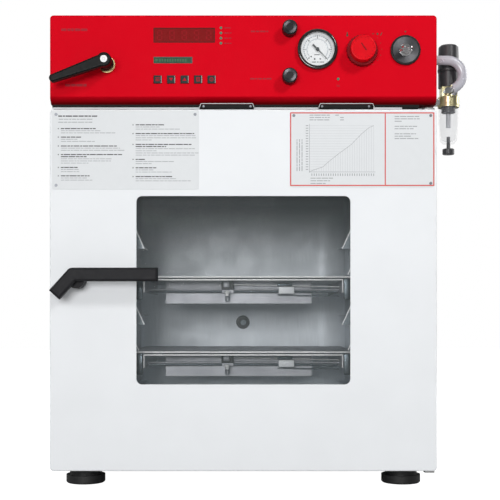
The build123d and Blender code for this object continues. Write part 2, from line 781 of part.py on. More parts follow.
def make_control_panel():
    outer = front_shell(0)
    outer = fillet(outer.faces().sort_by(Axis.Y)[0].edges(), panel_edge)
    front = outer - front_shell(panel_sheet)
    y0, y1 = front_y, front_y + panel_sheet
    front -= panel(display_width, display_height, pane_radius, y0, y1, display_x, display_z)
    front -= panel(lcd_width, lcd_height, pane_radius, y0, y1, lcd_x, lcd_z)
    for x, z in led_places():
        front -= disc(led_radius, y0, y1, x, z)
    for x in button_places():
        hole = button_size + 2 * button_gap
        front -= panel(hole, hole, pane_radius, y0, y1, x, button_z)
    shaft_hole = knob_shaft + shaft_gap
    for radius, x, z in ((gauge_body, gauge_x, gauge_z), (shaft_hole, knob_x, knob_heights[0]),
                         (shaft_hole, knob_x, knob_heights[1]),
                         (shaft_hole, thermostat_x, thermostat_z),
                         (key_barrel + barrel_wall, key_x, key_z), (valve_neck, lever_x, lever_z)):
        front -= disc(radius, y0, y1, x, z)
    front -= block(hinge_x - hinge_plate_width / 2 - notch_gap, half_width - panel_sheet,
                   panel_back - hinge_plate - notch_gap, panel_back,
                   panel_bottom, panel_bottom + panel_sheet)
    keep("control_panel", front)

    strip_y = front_y + panel_chamfer_back
    trim = block(-half_width + panel_sheet, half_width - panel_sheet, strip_y, panel_back,
                 panel_bottom - trim_drop, panel_bottom)
    trim -= block(hinge_x - hinge_plate_width, half_width, strip_y, panel_back,
                  panel_bottom - trim_drop, panel_bottom)
    for x in catch_centres:
        trim += block(x - catch_width / 2, x + catch_width / 2, front_y - catch_lip, strip_y + catch_depth,
                      catch_z, panel_bottom - trim_drop / 2)
    keep("panel_trim", trim)
    screws = []
    for x in catch_centres:
        for side in (-1, 1):
            screws.append(disc(catch_screw, front_y - catch_lip - screw_head, front_y - catch_lip,
                               x + side * (catch_width / 2 - catch_screw * 2),
                               catch_z + catch_screw * 2))
    for side in (-1, 1):
        for z in (foot_height + bottom_lip, casing_z, cabinet_height - bottom_lip):
            screws.append(disc(back_screw, rear_y, rear_y + 2 * screw_head,
                               side * (half_width - bottom_lip), z))
    keep("casing_screws", *screws)


def led_places():
    column = [(led_x, led_z + (led_count - 1 - 2 * i) * led_pitch / 2) for i in range(led_count)]
    return column + [(heating_led_x, heating_led_z)]


def button_places():
    return [button_x + i * button_pitch for i in range(len(button_names))]


def make_electronics():
    behind = front_y + panel_sheet
    for name, width, height, x, z in (
            ("display_window", display_width, display_height, display_x, display_z),
            ("lcd_window", lcd_width, lcd_height, lcd_x, lcd_z)):
        pane = panel(width, height, pane_radius, front_y, behind, x, z)
        pane += panel(width + 2 * window_lip, height + 2 * window_lip, pane_radius,
                      behind, behind + window_lip_sheet, x, z)
        keep(name, pane)
    keep("indicator_leds", *[disc(led_radius, front_y - led_proud, board_y, x, z)
                             for x, z in led_places()])
    left, right = display_x - display_width / 2 - board_margin, led_x + board_margin
    low, high = button_z - board_margin, display_z + display_height / 2 + board_margin
    board = block(left, right, board_y, board_y + board_sheet, low, high)
    posts = [disc(post_radius, behind, board_y, x, z) for x in (left + post_inset, right - post_inset)
             for z in (low + post_inset, high - post_inset)]
    switch_y, half_switch = board_y - switch_height, switch_size / 2
    switches = [block(x - half_switch, x + half_switch, switch_y, board_y,
                      button_z - half_switch, button_z + half_switch) for x in button_places()]
    half_lamp = lamp_board / 2
    heater_lamp = block(heating_led_x - half_lamp, heating_led_x + half_lamp, board_y,
                        board_y + board_sheet, heating_led_z - half_lamp, heating_led_z + half_lamp)
    keep("control_board", board, *posts, *switches, heater_lamp)
    for name, x in zip(button_names, button_places()):
        cap = panel(button_size, button_size, pane_radius, front_y - button_proud, behind, x, button_z)
        cap = fillet(cap.faces().sort_by(Axis.Y)[0].edges(), button_edge)
        lip = panel(button_size + 2 * button_lip, button_size + 2 * button_lip, pane_radius,
                    behind + button_gap, behind + button_gap + button_lip_sheet, x, button_z)
        stem = disc(button_stem, behind, switch_y - button_travel - button_gap, x, button_z)
        keep(name, cap + lip + stem)


def make_gauge():
    face_y = front_y - gauge_proud
    dial_y = face_y + dial_setback
    case = disc(gauge_bezel, face_y, front_y, gauge_x, gauge_z)
    case = fillet(case.faces().sort_by(Axis.Y)[0].edges(), gauge_edge)
    case += disc(gauge_body, front_y, front_y + gauge_depth, gauge_x, gauge_z)
    case += disc(gauge_socket, front_y + gauge_depth, front_y + gauge_depth + gauge_socket_length,
                 gauge_x, gauge_z)
    case -= disc(gauge_dial, face_y, dial_y + dial_sheet, gauge_x, gauge_z)
    case -= disc(arbor_radius + shaft_gap, face_y, front_y + arbor_reach + dial_sheet, gauge_x, gauge_z)
    keep("gauge_case", case)
    dial = disc(gauge_dial, dial_y, dial_y + dial_sheet, gauge_x, gauge_z)
    keep("gauge_dial", dial - disc(arbor_radius + shaft_gap, dial_y, dial_y + dial_sheet,
                                   gauge_x, gauge_z))
    glass_y = face_y + glass_setback
    keep("gauge_glass", disc(gauge_dial, glass_y, glass_y + glass_sheet, gauge_x, gauge_z))
    pointer_y = face_y + pointer_setback
    upper = ((-pointer_tail, pointer_wide), (-pointer_neck, pointer_root), (pointer_tip, pointer_point))
    needle = Polygon(*upper, *[(x, -half) for x, half in reversed(upper)], align=None)
    blade = extrude(facing(gauge_x, pointer_y, gauge_z) * Rot(0, 0, pointer_angle) * needle,
                    amount=pointer_sheet, dir=(0, 1, 0))
    hub = disc(pointer_hub, pointer_y - pointer_hub_proud, pointer_y + pointer_sheet, gauge_x, gauge_z)
    arbor = disc(arbor_radius, pointer_y, front_y + arbor_reach, gauge_x, gauge_z)
    keep("gauge_pointer", blade + hub + arbor)


def make_knobs():
    y0 = front_y - knob_gap - knob_length
    bodies = []
    for name, z in zip(("air_valve_knob", "gas_valve_knob"), knob_heights):
        knob = disc(knob_radius, y0, front_y - knob_gap, knob_x, z)
        knob = chamfer(knob.faces().sort_by(Axis.Y)[0].edges(), knob_chamfer)
        shaft = disc(knob_shaft, front_y - knob_gap, front_y + knob_length, knob_x, z)
        keep(name, knob + shaft)
        body = disc(knob_radius, front_y + panel_sheet, front_y + 2 * knob_length, knob_x, z)
        body -= disc(knob_shaft + shaft_gap, front_y, front_y + knob_length + air_gap, knob_x, z)
        bodies.append(body)
    keep("needle_valve_bodies", *bodies)

    y0 = front_y - knob_gap - thermostat_length
    cap = disc(thermostat_cap, y0, front_y - knob_gap, thermostat_x, thermostat_z)
    cap = fillet(cap.faces().sort_by(Axis.Y)[0].edges(), knob_chamfer)
    skirt_y = front_y - knob_gap - skirt_length
    skirt = disc(thermostat_skirt, skirt_y, front_y - knob_gap, thermostat_x, thermostat_z)
    for i in range(skirt_notches):
        turn = radians(i * 360 / skirt_notches)
        skirt -= disc(skirt_notch, skirt_y, front_y - knob_gap, thermostat_x + thermostat_skirt * cos(turn),
                      thermostat_z + thermostat_skirt * sin(turn))
    slot = facing(thermostat_x, y0, thermostat_z) * Rot(0, 0, pointer_angle) \
        * SlotOverall(thermostat_cap * 0.8, thermostat_slot)
    shaft = disc(knob_shaft, front_y - knob_gap, front_y + knob_length, thermostat_x, thermostat_z)
    keep("thermostat_knob", cap + skirt + shaft - extrude(slot, amount=-thermostat_slot_depth))
    body = panel(thermostat_case, thermostat_case, window_lip, front_y + panel_sheet,
                 front_y + thermostat_case, thermostat_x, thermostat_z)
    body -= disc(knob_shaft + shaft_gap, front_y, front_y + knob_length + air_gap,
                 thermostat_x, thermostat_z)
    keep("thermostat_body", body)


def make_key_switch():
    y0 = front_y - key_proud
    body = disc(key_bezel, y0, front_y, key_x, key_z)
    body = fillet(body.faces().sort_by(Axis.Y)[0].edges(), barrel_wall)
    body += disc(key_barrel + barrel_wall, front_y, front_y + 3 * key_barrel, key_x, key_z)
    body -= disc(key_barrel + shaft_gap, y0, front_y + 2 * key_barrel, key_x, key_z)
    keep("key_switch_body", body)
    barrel_y = y0 - barrel_proud
    barrel = disc(key_barrel, barrel_y, front_y + 2 * key_barrel - barrel_wall, key_x, key_z)
    barrel = chamfer(barrel.faces().sort_by(Axis.Y)[0].edges(), barrel_wall)
    blade = block(key_x - key_blade_width / 2, key_x + key_blade_width / 2,
                  barrel_y - key_blade, barrel_y, key_z - key_sheet / 2, key_z + key_sheet / 2)
    bow_y = barrel_y - key_blade - key_bow / 2
    bow = Pos(key_x, bow_y, key_z) * Cylinder(key_bow, key_sheet)
    bow -= Pos(key_x, bow_y - key_bow / 2, key_z) * Cylinder(key_hole, key_sheet)
    keep("switch_key", barrel + blade + bow)


def make_lever():
    y0 = front_y - lever_proud
    collar_y = front_y - lever_collar_height
    behind = front_y + panel_sheet
    body = disc(lever_collar, collar_y, front_y, lever_x, lever_z)
    body += disc(valve_neck, front_y, behind, lever_x, lever_z)
    body += disc(valve_radius, behind, front_y + valve_depth, lever_x, lever_z)
    body += upright(pipe_radius + pipe_wall, lever_z - valve_branch - pipe_radius, lever_z,
                    lever_x, front_y + branch_setback)
    body -= disc(valve_stem + shaft_gap, collar_y, front_y + stem_reach + air_gap, lever_x, lever_z)
    keep("vacuum_valve_body", body)

    tip_x = -lever_length
    arm = Polygon((0, lever_root / 2), (tip_x, lever_tip / 2), (tip_x, -lever_tip / 2),
                  (0, -lever_root / 2), align=None)
    turned = facing(lever_x, y0, lever_z) * Rot(0, 0, lever_angle)
    lever = extrude(turned * arm, amount=-lever_thickness)
    lever += disc(lever_hub, y0, y0 + lever_thickness, lever_x, lever_z)
    lever += extrude(turned * Pos(tip_x, 0) * Circle(lever_tip / 2), amount=-lever_thickness)
    lever = fillet(lever.faces().sort_by(Axis.Y)[0].edges(), lever_edge)
    lever += disc(lever_hub, y0 + lever_thickness, collar_y - handle_gap, lever_x, lever_z)
    lever += disc(valve_stem, collar_y - handle_gap, front_y + stem_reach, lever_x, lever_z)
    socket_y = y0 + lever_cap_depth
    socket = disc(lever_cap, y0, socket_y, lever_x, lever_z)
    keep("vacuum_lever", lever - socket, disc(lever_cap, y0 - lever_cap_proud, socket_y, lever_x, lever_z))


def make_pipework():
    riser_y = chamber_back + insulation_thickness + 2 * port_stub
    crossing_z = lever_z - valve_branch
    chamber_line = pipe(pipe_radius, (0, chamber_back + port_stub, port_z), (0, riser_y, port_z),
                        (0, riser_y, crossing_z), (lever_x, riser_y, crossing_z),
                        (lever_x, front_y + branch_setback, crossing_z)) - nodes["vacuum_valve_body"]
    valve_rear, port_end = front_y + valve_depth, rear_y + pump_port_reach
    port = disc(pump_port_bore + port_wall, valve_rear, port_end, lever_x, lever_z)
    port += disc(pump_port_radius, port_end - pump_port_flange, port_end, lever_x, lever_z)
    port -= disc(pump_port_bore, valve_rear + valve_to_port, port_end, lever_x, lever_z)
    keep("vacuum_pipework", chamber_line, port)

    gas_y, line = front_y + 2 * knob_length, gas_port_radius - tube_wall
    air_z, gas_z = knob_heights
    gas = disc(line + tube_wall / 2, gas_y, rear_y, knob_x, gas_z)
    gas += disc(gas_port_radius, rear_y, rear_y + gas_port_reach, knob_x, gas_z)
    gas -= disc(line, gas_y + knob_length, rear_y + gas_port_reach, knob_x, gas_z)
    turn_x, wall_z = half_width - line_inset, hose_z + hose_bend
    air = pipe(line, (knob_x, gas_y, air_z), (knob_x, hose_y, air_z), (turn_x, hose_y, air_z),
               (turn_x, hose_y, wall_z), (half_width - 2 * sheet, hose_y, wall_z))
    keep("gas_pipework", gas, air)


def make_filter():
    def lathe(*points):
        """Turn a half outline of (radius, height) pairs about the filter's axis."""
        face = make_face(Polyline(*[(r, 0, z) for r, z in points], close=True))
        return Pos(filter_x, filter_y, 0) * revolve(face, Axis.Z)

    head = upright(head_radius, bowl_top, bowl_top + head_ring, filter_x, filter_y)
    head += block(filter_x - head_block, filter_x + head_block, filter_y - head_block,
                  filter_y + head_block, bowl_top + head_ring, head_top)
    head -= upright(bowl_radius + regulator_gap, bowl_top, bowl_top + thread_length, filter_x, filter_y)
    keep("filter_head", head)

    foot = bowl_top - bowl_height
    inner, tip = bowl_radius - bowl_wall, bowl_radius - bowl_taper
    neck = bowl_top + thread_length
    base, hole, shoulder = tip - bowl_bottom_taper, drain_stem + pivot_gap, foot + 0.6 * bowl_height
    thick = 2 * bowl_wall
    bowl = lathe((hole, foot), (base, foot), (tip, foot + bowl_bottom_rise), (bowl_radius, shoulder),
                 (bowl_radius, neck), (inner, neck), (inner, shoulder),
                 (tip - bowl_wall, foot + bowl_bottom_rise + bowl_wall), (base - bowl_wall, foot + thick),
                 (hole, foot + thick))
    keep("filter_bowl", bowl)
    baffle_z = bowl_top - baffle_height
    baffle = upright(inner - baffle_gap, baffle_z, neck, filter_x, filter_y)
    baffle += upright(baffle_stem, baffle_z - baffle_stem_length, baffle_z, filter_x, filter_y)
    keep("filter_baffle", baffle)
    drain = upright(drain_radius, drain_top - drain_height, drain_top, filter_x, filter_y)
    drain = fillet(drain.edges().filter_by(GeomType.CIRCLE), drain_edge)
    for i in range(drain_lobes):
        turn = radians(i * 360 / drain_lobes)
        drain -= upright(drain_lobe, drain_top - drain_height, drain_top,
                         filter_x + drain_radius * cos(turn), filter_y + drain_radius * sin(turn))
    stem = upright(drain_stem, drain_top, foot + drain_stem_reach, filter_x, filter_y)
    keep("drain_knob", drain + stem)

    body = upright(regulator_radius, regulator_bottom, regulator_top, filter_x, filter_y)
    neck_radius, neck_top = cap_radius - cap_neck, regulator_top + cap_neck_height
    body += upright(neck_radius, regulator_top, neck_top, filter_x, filter_y)
    keep("regulator_body", body)
    z0, z1 = regulator_top + regulator_gap, regulator_top + cap_height
    crown = cap_radius - cap_taper
    cap = lathe((0, z0), (cap_radius, z0), (crown, z1 - cap_edge), (crown - cap_edge, z1), (0, z1))
    cap -= upright(neck_radius + shaft_gap, z0, neck_top + regulator_gap, filter_x, filter_y)
    keep("regulator_knob", cap)

    arm_z = bowl_top + head_ring / 2
    half_plate, half_arm, half_bar = bracket_width / 2, bracket_arm / 2, bracket_arm_height / 2
    bracket = block(half_width, half_width + hinge_plate, filter_y - half_plate, filter_y + half_plate,
                    arm_z - bracket_low, arm_z + bracket_high)
    bracket += block(half_width, filter_x, filter_y - half_arm, filter_y + half_arm,
                     arm_z - half_bar, arm_z + half_bar)
    keep("filter_bracket", bracket - upright(head_radius, 0, cabinet_height, filter_x, filter_y))

    top_z = hose_z + hose_bend
    section = Plane(origin=(hose_x, hose_y, top_z), z_dir=(1, 0, 0)) * (
        Circle(hose_radius) - Circle(hose_bore))
    bend = revolve(section, Axis((hose_x, hose_y, hose_z), (0, 1, 0)), hose_sweep)
    hose_start = half_width + collar_height
    straight = (crosswise(hose_radius, hose_start, hose_x, hose_y, top_z)
                - crosswise(hose_bore, hose_start, hose_x, hose_y, top_z))
    keep("gas_hose", straight + bend)
    barb = hose_bore - barb_slack
    wall_fitting = crosswise(hose_radius + collar_wall, half_width, hose_start, hose_y, top_z)
    wall_fitting += crosswise(barb, half_width - sheet, hose_start + barb_length, hose_y, top_z)

    turn = radians(hose_sweep)
    end = Vector(hose_x + hose_bend * sin(turn), hose_y, hose_z + hose_bend * cos(turn))
    along = Vector(cos(turn), 0, -sin(turn))
    elbow = end + along * elbow_reach
    block_y = filter_y - head_block
    tail = pipe(barb, tuple(end - along * barb_grip), tuple(elbow))
    branch = disc(elbow_radius, elbow.Y - elbow_radius, block_y, elbow.X, elbow.Z)
    plug = disc(plug_radius, block_y - plug_proud, block_y, filter_x + plug_shift, head_top - plug_drop)
    keep("hose_fittings", wall_fitting, tail + branch, plug)


make_casing()
make_back()
make_front_frame()
make_chamber()
make_heating()
make_racks()
make_shelf("upper_shelf", rails_below_upper_shelf_count)
make_shelf("lower_shelf", rails_below_lower_shelf_count)
make_door()
make_hinges()
make_door_plates()
make_handle()
make_control_panel()
make_electronics()
make_gauge()
make_knobs()
make_key_switch()
make_lever()
make_pipework()
make_filter()

boxes = [shape.bounding_box() for shape in nodes.values()]
middle_x = (min(box.min.X for box in boxes) + max(box.max.X for box in boxes)) / 2
middle_y = (min(box.min.Y for box in boxes) + max(box.max.Y for box in boxes)) / 2
to_origin = Location((-round(middle_x, 1), -round(middle_y, 1), 0))

os.makedirs("parts", exist_ok=True)
for node, shape in nodes.items():
    export_step(shape.moved(to_origin), f"parts/{node}.step")
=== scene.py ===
from math import cos, hypot, pi, radians, sin

import bmesh
import bpy
from mathutils import Matrix, Vector


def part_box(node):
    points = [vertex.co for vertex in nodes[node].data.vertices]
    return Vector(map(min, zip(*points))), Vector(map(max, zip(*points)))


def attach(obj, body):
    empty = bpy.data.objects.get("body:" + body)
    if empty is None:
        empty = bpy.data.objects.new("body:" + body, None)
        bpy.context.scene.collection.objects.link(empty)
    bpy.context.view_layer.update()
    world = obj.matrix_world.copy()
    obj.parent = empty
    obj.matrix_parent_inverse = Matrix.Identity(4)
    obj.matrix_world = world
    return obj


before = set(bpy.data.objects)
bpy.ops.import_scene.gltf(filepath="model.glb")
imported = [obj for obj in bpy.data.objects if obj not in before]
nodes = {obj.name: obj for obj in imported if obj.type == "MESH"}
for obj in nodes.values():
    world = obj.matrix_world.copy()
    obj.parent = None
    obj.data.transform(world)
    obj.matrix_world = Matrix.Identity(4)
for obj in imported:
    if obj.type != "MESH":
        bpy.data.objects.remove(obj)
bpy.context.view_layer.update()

MM = 0.001
BACK = 0.275                         # the cabinet's back, behind its own middle
casing_low, casing_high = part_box("rear_panel")
MIDDLE = Vector(((casing_low.x + casing_high.x) / 2, casing_high.y - BACK, 0))
SEED_STEP = 7.3                      # keeps one noise pattern away from the next


# ------------------------------------------------------------------ materials
class Surface:
    """A Principled material whose colour, roughness and relief come from procedural noise."""

    count = 0

    def __init__(self, name, color, rough, metal=0.0, **sockets):
        Surface.count += 1
        self.material = bpy.data.materials.new(name)
        self.material.use_nodes = True
        self.nodes = self.material.node_tree.nodes
        self.links = self.material.node_tree.links
        self.shader = self.nodes["Principled BSDF"]
        self.color, self.rough = color, rough
        self.shader.inputs["Base Color"].default_value = (*color, 1)
        self.shader.inputs["Roughness"].default_value = rough
        self.shader.inputs["Metallic"].default_value = metal
        for socket, value in sockets.items():
            self.shader.inputs[socket.replace("_", " ")].default_value = value
        self.place = self.nodes.new("ShaderNodeTexCoord").outputs["Object"]
        self.offset = Surface.count * SEED_STEP

    def node(self, kind, **values):
        made = self.nodes.new(kind)
        for key, value in values.items():
            if hasattr(made, key):
                setattr(made, key, value)
            else:
                made.inputs[key.replace("_", " ")].default_value = value
        return made

    def noise(self, size, stretch=(1, 1, 1), detail=3.0):
        """Noise with features of about that size in metres, drawn out along the stretched axes."""
        scale = self.node("ShaderNodeMapping")
        scale.inputs["Scale"].default_value = [1 / (size * s) for s in stretch]
        scale.inputs["Location"].default_value = (self.offset, 0, 0)
        self.links.new(self.place, scale.inputs["Vector"])
        pattern = self.node("ShaderNodeTexNoise", Scale=1.0, Detail=detail)
        self.links.new(scale.outputs["Vector"], pattern.inputs["Vector"])
        return pattern.outputs["Fac"]

    def ramp(self, value, low, high, start=0.3, end=0.7):
        """Maps a value from start..end to low..high, as a colour or as a number."""
        spread = self.node("ShaderNodeMapRange")
        spread.inputs["From Min"].default_value = start
        spread.inputs["From Max"].default_value = end
        self.links.new(value, spread.inputs["Value"])
        if isinstance(low, (tuple, list)):
            blend = self.node("ShaderNodeMix", data_type="RGBA")
            self.links.new(spread.outputs["Result"], blend.inputs[0])
            first, second = (s for s in blend.inputs if s.type == "RGBA")
            first.default_value, second.default_value = (*low, 1), (*high, 1)
            return next(s for s in blend.outputs if s.type == "RGBA")
        spread.inputs["To Min"].default_value = low
        spread.inputs["To Max"].default_value = high
        return spread.outputs["Result"]

    def tint(self, value, amount):
        """Colour varies by this share round the base colour."""
        dark = [c * (1 - amount) for c in self.color]
        light = [min(1, c * (1 + amount)) for c in self.color]
        self.links.new(self.ramp(value, dark, light), self.shader.inputs["Base Color"])
        return self

    def over(self, **values):
        """Lays a mix over the colour so far; gives its factor and its second colour."""
        blend = self.node("ShaderNodeMix", data_type="RGBA", **values)
        factor, base = blend.inputs[0], self.shader.inputs["Base Color"]
        factor.default_value = 1.0
        first, second = (s for s in blend.inputs if s.type == "RGBA")
        self.links.new(base.links[0].from_socket, first)
        self.links.new(next(s for s in blend.outputs if s.type == "RGBA"), base)
        return factor, second

    def altitude(self):
        """Height of the shaded point in metres."""
        place = self.node("ShaderNodeSeparateXYZ")
        self.links.new(self.place, place.inputs["Vector"])
        return place.outputs["Z"]

    def cloud(self, size, amount):
        """Colour drifts in broad soft patches on top of the tint."""
        _, second = self.over(blend_type="MULTIPLY")
        self.links.new(self.ramp(self.noise(size), [1 - amount] * 3, [1 + amount] * 3), second)
        return self

    def fade(self, start, end, share):
        """Paints shade: darkens the colour to a share of itself between two heights in metres."""
        _, second = self.over(blend_type="MULTIPLY")
        self.links.new(self.ramp(self.altitude(), [1.0] * 3, [share] * 3, start, end), second)
        return self

    def above(self, height, color):
        """Another colour over the part that lies above a height in metres."""
        step = self.node("ShaderNodeMath", operation="GREATER_THAN")
        self.links.new(self.altitude(), step.inputs[0])
        step.inputs[1].default_value = height
        factor, second = self.over()
        self.links.new(step.outputs["Value"], factor)
        second.default_value = (*color, 1)
        return self

    def gloss(self, value, amount):
        """Roughness varies by this much round the base roughness."""
        low, high = max(0.02, self.rough - amount), min(1, self.rough + amount)
        self.links.new(self.ramp(value, low, high), self.shader.inputs["Roughness"])
        return self

    def relief(self, value, depth, strength):
        """Bump of about that depth in metres."""
        bump = self.node("ShaderNodeBump", Strength=strength, Distance=depth)
        self.links.new(value, bump.inputs["Height"])
        self.links.new(bump.outputs["Normal"], self.shader.inputs["Normal"])
        return self


def powder_coat(name, color, rough, **sockets):
    coat = Surface(name, color, rough, **sockets)
    coat.tint(coat.noise(0.09, detail=4), 0.015).gloss(coat.noise(0.02), 0.04)
    return coat.relief(coat.noise(0.0016), 0.00003, 0.5)


def moulded(name, color, rough, grain=0.0006, depth=0.00002, spread=0.06, **sockets):
    plastic = Surface(name, color, rough, **sockets)
    plastic.tint(plastic.noise(0.012), spread).gloss(plastic.noise(0.006), 0.06)
    return plastic.relief(plastic.noise(grain), depth, 0.6)


def brushed(name, color, rough, stretch=(1, 40, 1), size=0.0007, metal=1.0, **sockets):
    steel = Surface(name, color, rough, metal, **sockets)
    grain = steel.noise(size, stretch, 4)
    steel.tint(grain, 0.10).gloss(steel.noise(0.03), 0.07)
    return steel.relief(grain, 0.00001, 0.4)


def turned(name, color, rough, anisotropic=0.8):
    """Metal cut on a lathe about Y, with the fan-shaped sheen of fine rings."""
    metal = Surface(name, color, rough, 1.0, Anisotropic=anisotropic)
    tangent = metal.node("ShaderNodeTangent", direction_type="RADIAL", axis="Y")
    metal.links.new(tangent.outputs["Tangent"], metal.shader.inputs["Tangent"])
    return metal.tint(metal.noise(0.004), 0.12).gloss(metal.noise(0.01), 0.05)


def pane(name, color, alpha, rough=0.03):
    """Thin clear sheet that lets light straight through and mirrors very little."""
    sheet = Surface(name, color, rough, Alpha=alpha, Specular_IOR_Level=0.04)
    return sheet.tint(sheet.noise(0.2), 0.05).gloss(sheet.noise(0.05), 0.015)


def glowing(name, color, strength):
    lamp = Surface(name, color, 0.3, Emission_Strength=strength)
    lamp.shader.inputs["Emission Color"].default_value = (*color, 1)
    return lamp.tint(lamp.noise(0.003), 0.15)


CHAMFER_PAINTED_SHADE = (0.6445, 0.6335)           # top and foot of the control front's lower chamfer, between which shade is painted onto its red
CHAMBER_PAINTED_SHADE = (0.33, 0.50)         # heights between which shade is painted on the chamber's steel, darker towards the top
BAFFLE_CAP = 0.629                   # the filter's baffle is black above this height

white_paint = powder_coat("white_paint", (0.80, 0.82, 0.84), 0.55, Specular_IOR_Level=0.10)
casing_paint = powder_coat("casing_paint", (0.72, 0.74, 0.76), 0.5)
red_paint = powder_coat("red_paint", (0.62, 0.0008, 0.010), 0.55, Specular_IOR_Level=0.03)
# painted shade: the control front's red darkens down its lower chamfer
red_paint.fade(*CHAMFER_PAINTED_SHADE, 0.16)
black_trim = moulded("black_trim", (0.010, 0.010, 0.010), 0.5, Specular_IOR_Level=0.08)
handle_black = moulded("handle_black", (0.017, 0.017, 0.019), 0.5, Specular_IOR_Level=0.10)
lever_black = moulded("lever_black", (0.006, 0.007, 0.007), 0.38, Specular_IOR_Level=0.10)
knob_black = moulded("knob_black", (0.010, 0.010, 0.011), 0.38, Specular_IOR_Level=0.20)
regulator_black = moulded("regulator_black", (0.028, 0.028, 0.031), 0.36)
red_plastic = moulded("red_plastic", (0.66, 0.001, 0.008), 0.40, Specular_IOR_Level=0.08)
dark_red_plastic = moulded("dark_red_plastic", (0.20, 0.003, 0.007), 0.4, Specular_IOR_Level=0.12)
button_grey = moulded("button_grey", (0.030, 0.038, 0.038), 0.5, Specular_IOR_Level=0.06)
foot_rubber = moulded("foot_rubber", (0.012, 0.012, 0.013), 0.6, 0.0004, 0.00004)
seal_rubber = moulded("seal_rubber", (0.45, 0.09, 0.05), 0.55)
inlet_black = moulded("inlet_black", (0.015, 0.015, 0.016), 0.4)
enamel_black = moulded("enamel_black", (0.010, 0.010, 0.010), 0.18, Coat_Weight=0.6)
board_green = moulded("board_green", (0.02, 0.16, 0.05), 0.4)
stainless = brushed("stainless", (0.78, 0.83, 0.88), 0.52, (1, 1, 60), metal=0.22)
# painted shade: the chamber's steel darkens towards its top
stainless.cloud(0.16, 0.05).fade(*CHAMBER_PAINTED_SHADE, 0.13)
rack_steel = brushed("rack_steel", (0.52, 0.55, 0.58), 0.33, (1, 60, 1))
shelf_metal = brushed("shelf_metal", (0.36, 0.37, 0.40), 0.45, (60, 1, 1), metal=0.4)
bright_steel = brushed("bright_steel", (0.66, 0.66, 0.66), 0.24, (1, 1, 8))
pipe_steel = brushed("pipe_steel", (0.58, 0.59, 0.60), 0.3, (1, 30, 1))
chrome = brushed("chrome", (0.80, 0.80, 0.81), 0.12, (1, 1, 6))
brass = brushed("brass", (0.60, 0.50, 0.25), 0.32, (1, 1, 5))
zinc_yellow = brushed("zinc_yellow", (0.62, 0.56, 0.33), 0.3, (4, 4, 1), 0.002)
safety_glass = pane("safety_glass", (0.30, 0.36, 0.36), 0.05)
shield_clear = pane("shield_clear", (0.20, 0.22, 0.23), 0.06)
clear_plastic = pane("clear_plastic", (0.42, 0.44, 0.47), 0.10, 0.06)
baffle_grey = moulded("baffle_grey", (0.42, 0.43, 0.45), 0.35)
baffle_grey.above(BAFFLE_CAP, (0.008, 0.008, 0.009))
display_red = moulded("display_red", (0.20, 0.009, 0.010), 0.30, Specular_IOR_Level=0.04)
display_edge = moulded("display_edge", (0.11, 0.012, 0.012), 0.4, Specular_IOR_Level=0.05)
segment_red = moulded("segment_red", (0.27, 0.010, 0.014), 0.4, Specular_IOR_Level=0.04)
lcd_green = moulded("lcd_green", (0.024, 0.075, 0.040), 0.35, spread=0.3, Specular_IOR_Level=0.08)
# dark green of the LCD's border and of the painted shadow of its recess
lcd_frame_and_shadow = moulded("lcd_frame_and_shadow", (0.008, 0.018, 0.014), 0.4)
lcd_light = moulded("lcd_light", (0.055, 0.125, 0.075), 0.4, Specular_IOR_Level=0.08)
dial_white = moulded("dial_white", (0.84, 0.85, 0.86), 0.5, spread=0.01)
plate_white = moulded("plate_white", (0.70, 0.72, 0.735), 0.5, spread=0.008, Specular_IOR_Level=0.10)
ink_black = moulded("ink_black", (0.03, 0.03, 0.035), 0.6)
ink_grey = moulded("ink_grey", (0.30, 0.31, 0.33), 0.6)
ink_light = moulded("ink_light", (0.50, 0.51, 0.53), 0.6)
ink_red = moulded("ink_red", (0.62, 0.06, 0.05), 0.5)
cap_white = moulded("cap_white", (0.78, 0.79, 0.80), 0.4, spread=0.01)
dark_print = moulded("dark_print", (0.36, 0.010, 0.020), 0.5, Specular_IOR_Level=0.15)
mark_green = moulded("mark_green", (0.10, 0.06, 0.045), 0.5, Specular_IOR_Level=0.1)
symbol_red = moulded("symbol_red", (0.45, 0.006, 0.02), 0.4, Specular_IOR_Level=0.05)
# pale grey of the painted highlight on the keys' right edges
button_painted_highlight = moulded("button_painted_highlight", (0.42, 0.40, 0.38), 0.35)
port_black = moulded("port_black", (0.012, 0.013, 0.015), 0.45)
edge_steel = brushed("edge_steel", (0.92, 0.94, 0.96), 0.40, (60, 1, 1), metal=0.15)
gusset_steel = brushed("gusset_steel", (0.16, 0.19, 0.21), 0.40, (1, 1, 60), metal=0.5)
rod_dark = brushed("rod_dark", (0.10, 0.12, 0.135), 0.35, (60, 1, 1))
tab_white = moulded("tab_white", (0.90, 0.93, 0.96), 0.4, spread=0.01)
knob_face = turned("knob_face", (0.075, 0.075, 0.08), 0.33)
bezel_face = turned("bezel_face", (0.078, 0.078, 0.083), 0.42, 0.5)
rivet_steel = brushed("rivet_steel", (0.17, 0.18, 0.20), 0.4, (1, 1, 8), metal=0.5)
# pale grey of the painted highlights on the catches' edges
catch_painted_highlight = moulded("catch_painted_highlight", (0.50, 0.51, 0.52), 0.4)
trim_line = moulded("trim_line", (0.55, 0.57, 0.59), 0.5)
key_steel = brushed("key_steel", (0.30, 0.30, 0.31), 0.25, (1, 1, 6))
dial_grey = moulded("dial_grey", (0.55, 0.58, 0.62), 0.5)
mat_orange = moulded("mat_orange", (0.50, 0.13, 0.04), 0.6)
wool = moulded("wool", (0.55, 0.50, 0.36), 0.9, 0.002, 0.0004)
led_green = glowing("led_green", (0.04, 0.13, 0.07), 0.12)
hose_clear = moulded("hose_clear", (0.60, 0.60, 0.66), 0.22, Transmission_Weight=0.3, Coat_Weight=0.3)


# ------------------------------------------------------------------ shapes
# Every place below is measured from the cabinet's middle, at floor level; link and box_of do the shift.
def box_of(node):
    """Corners of a node's box in metres."""
    low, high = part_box(node)
    return Vector(low) - MIDDLE, Vector(high) - MIDDLE


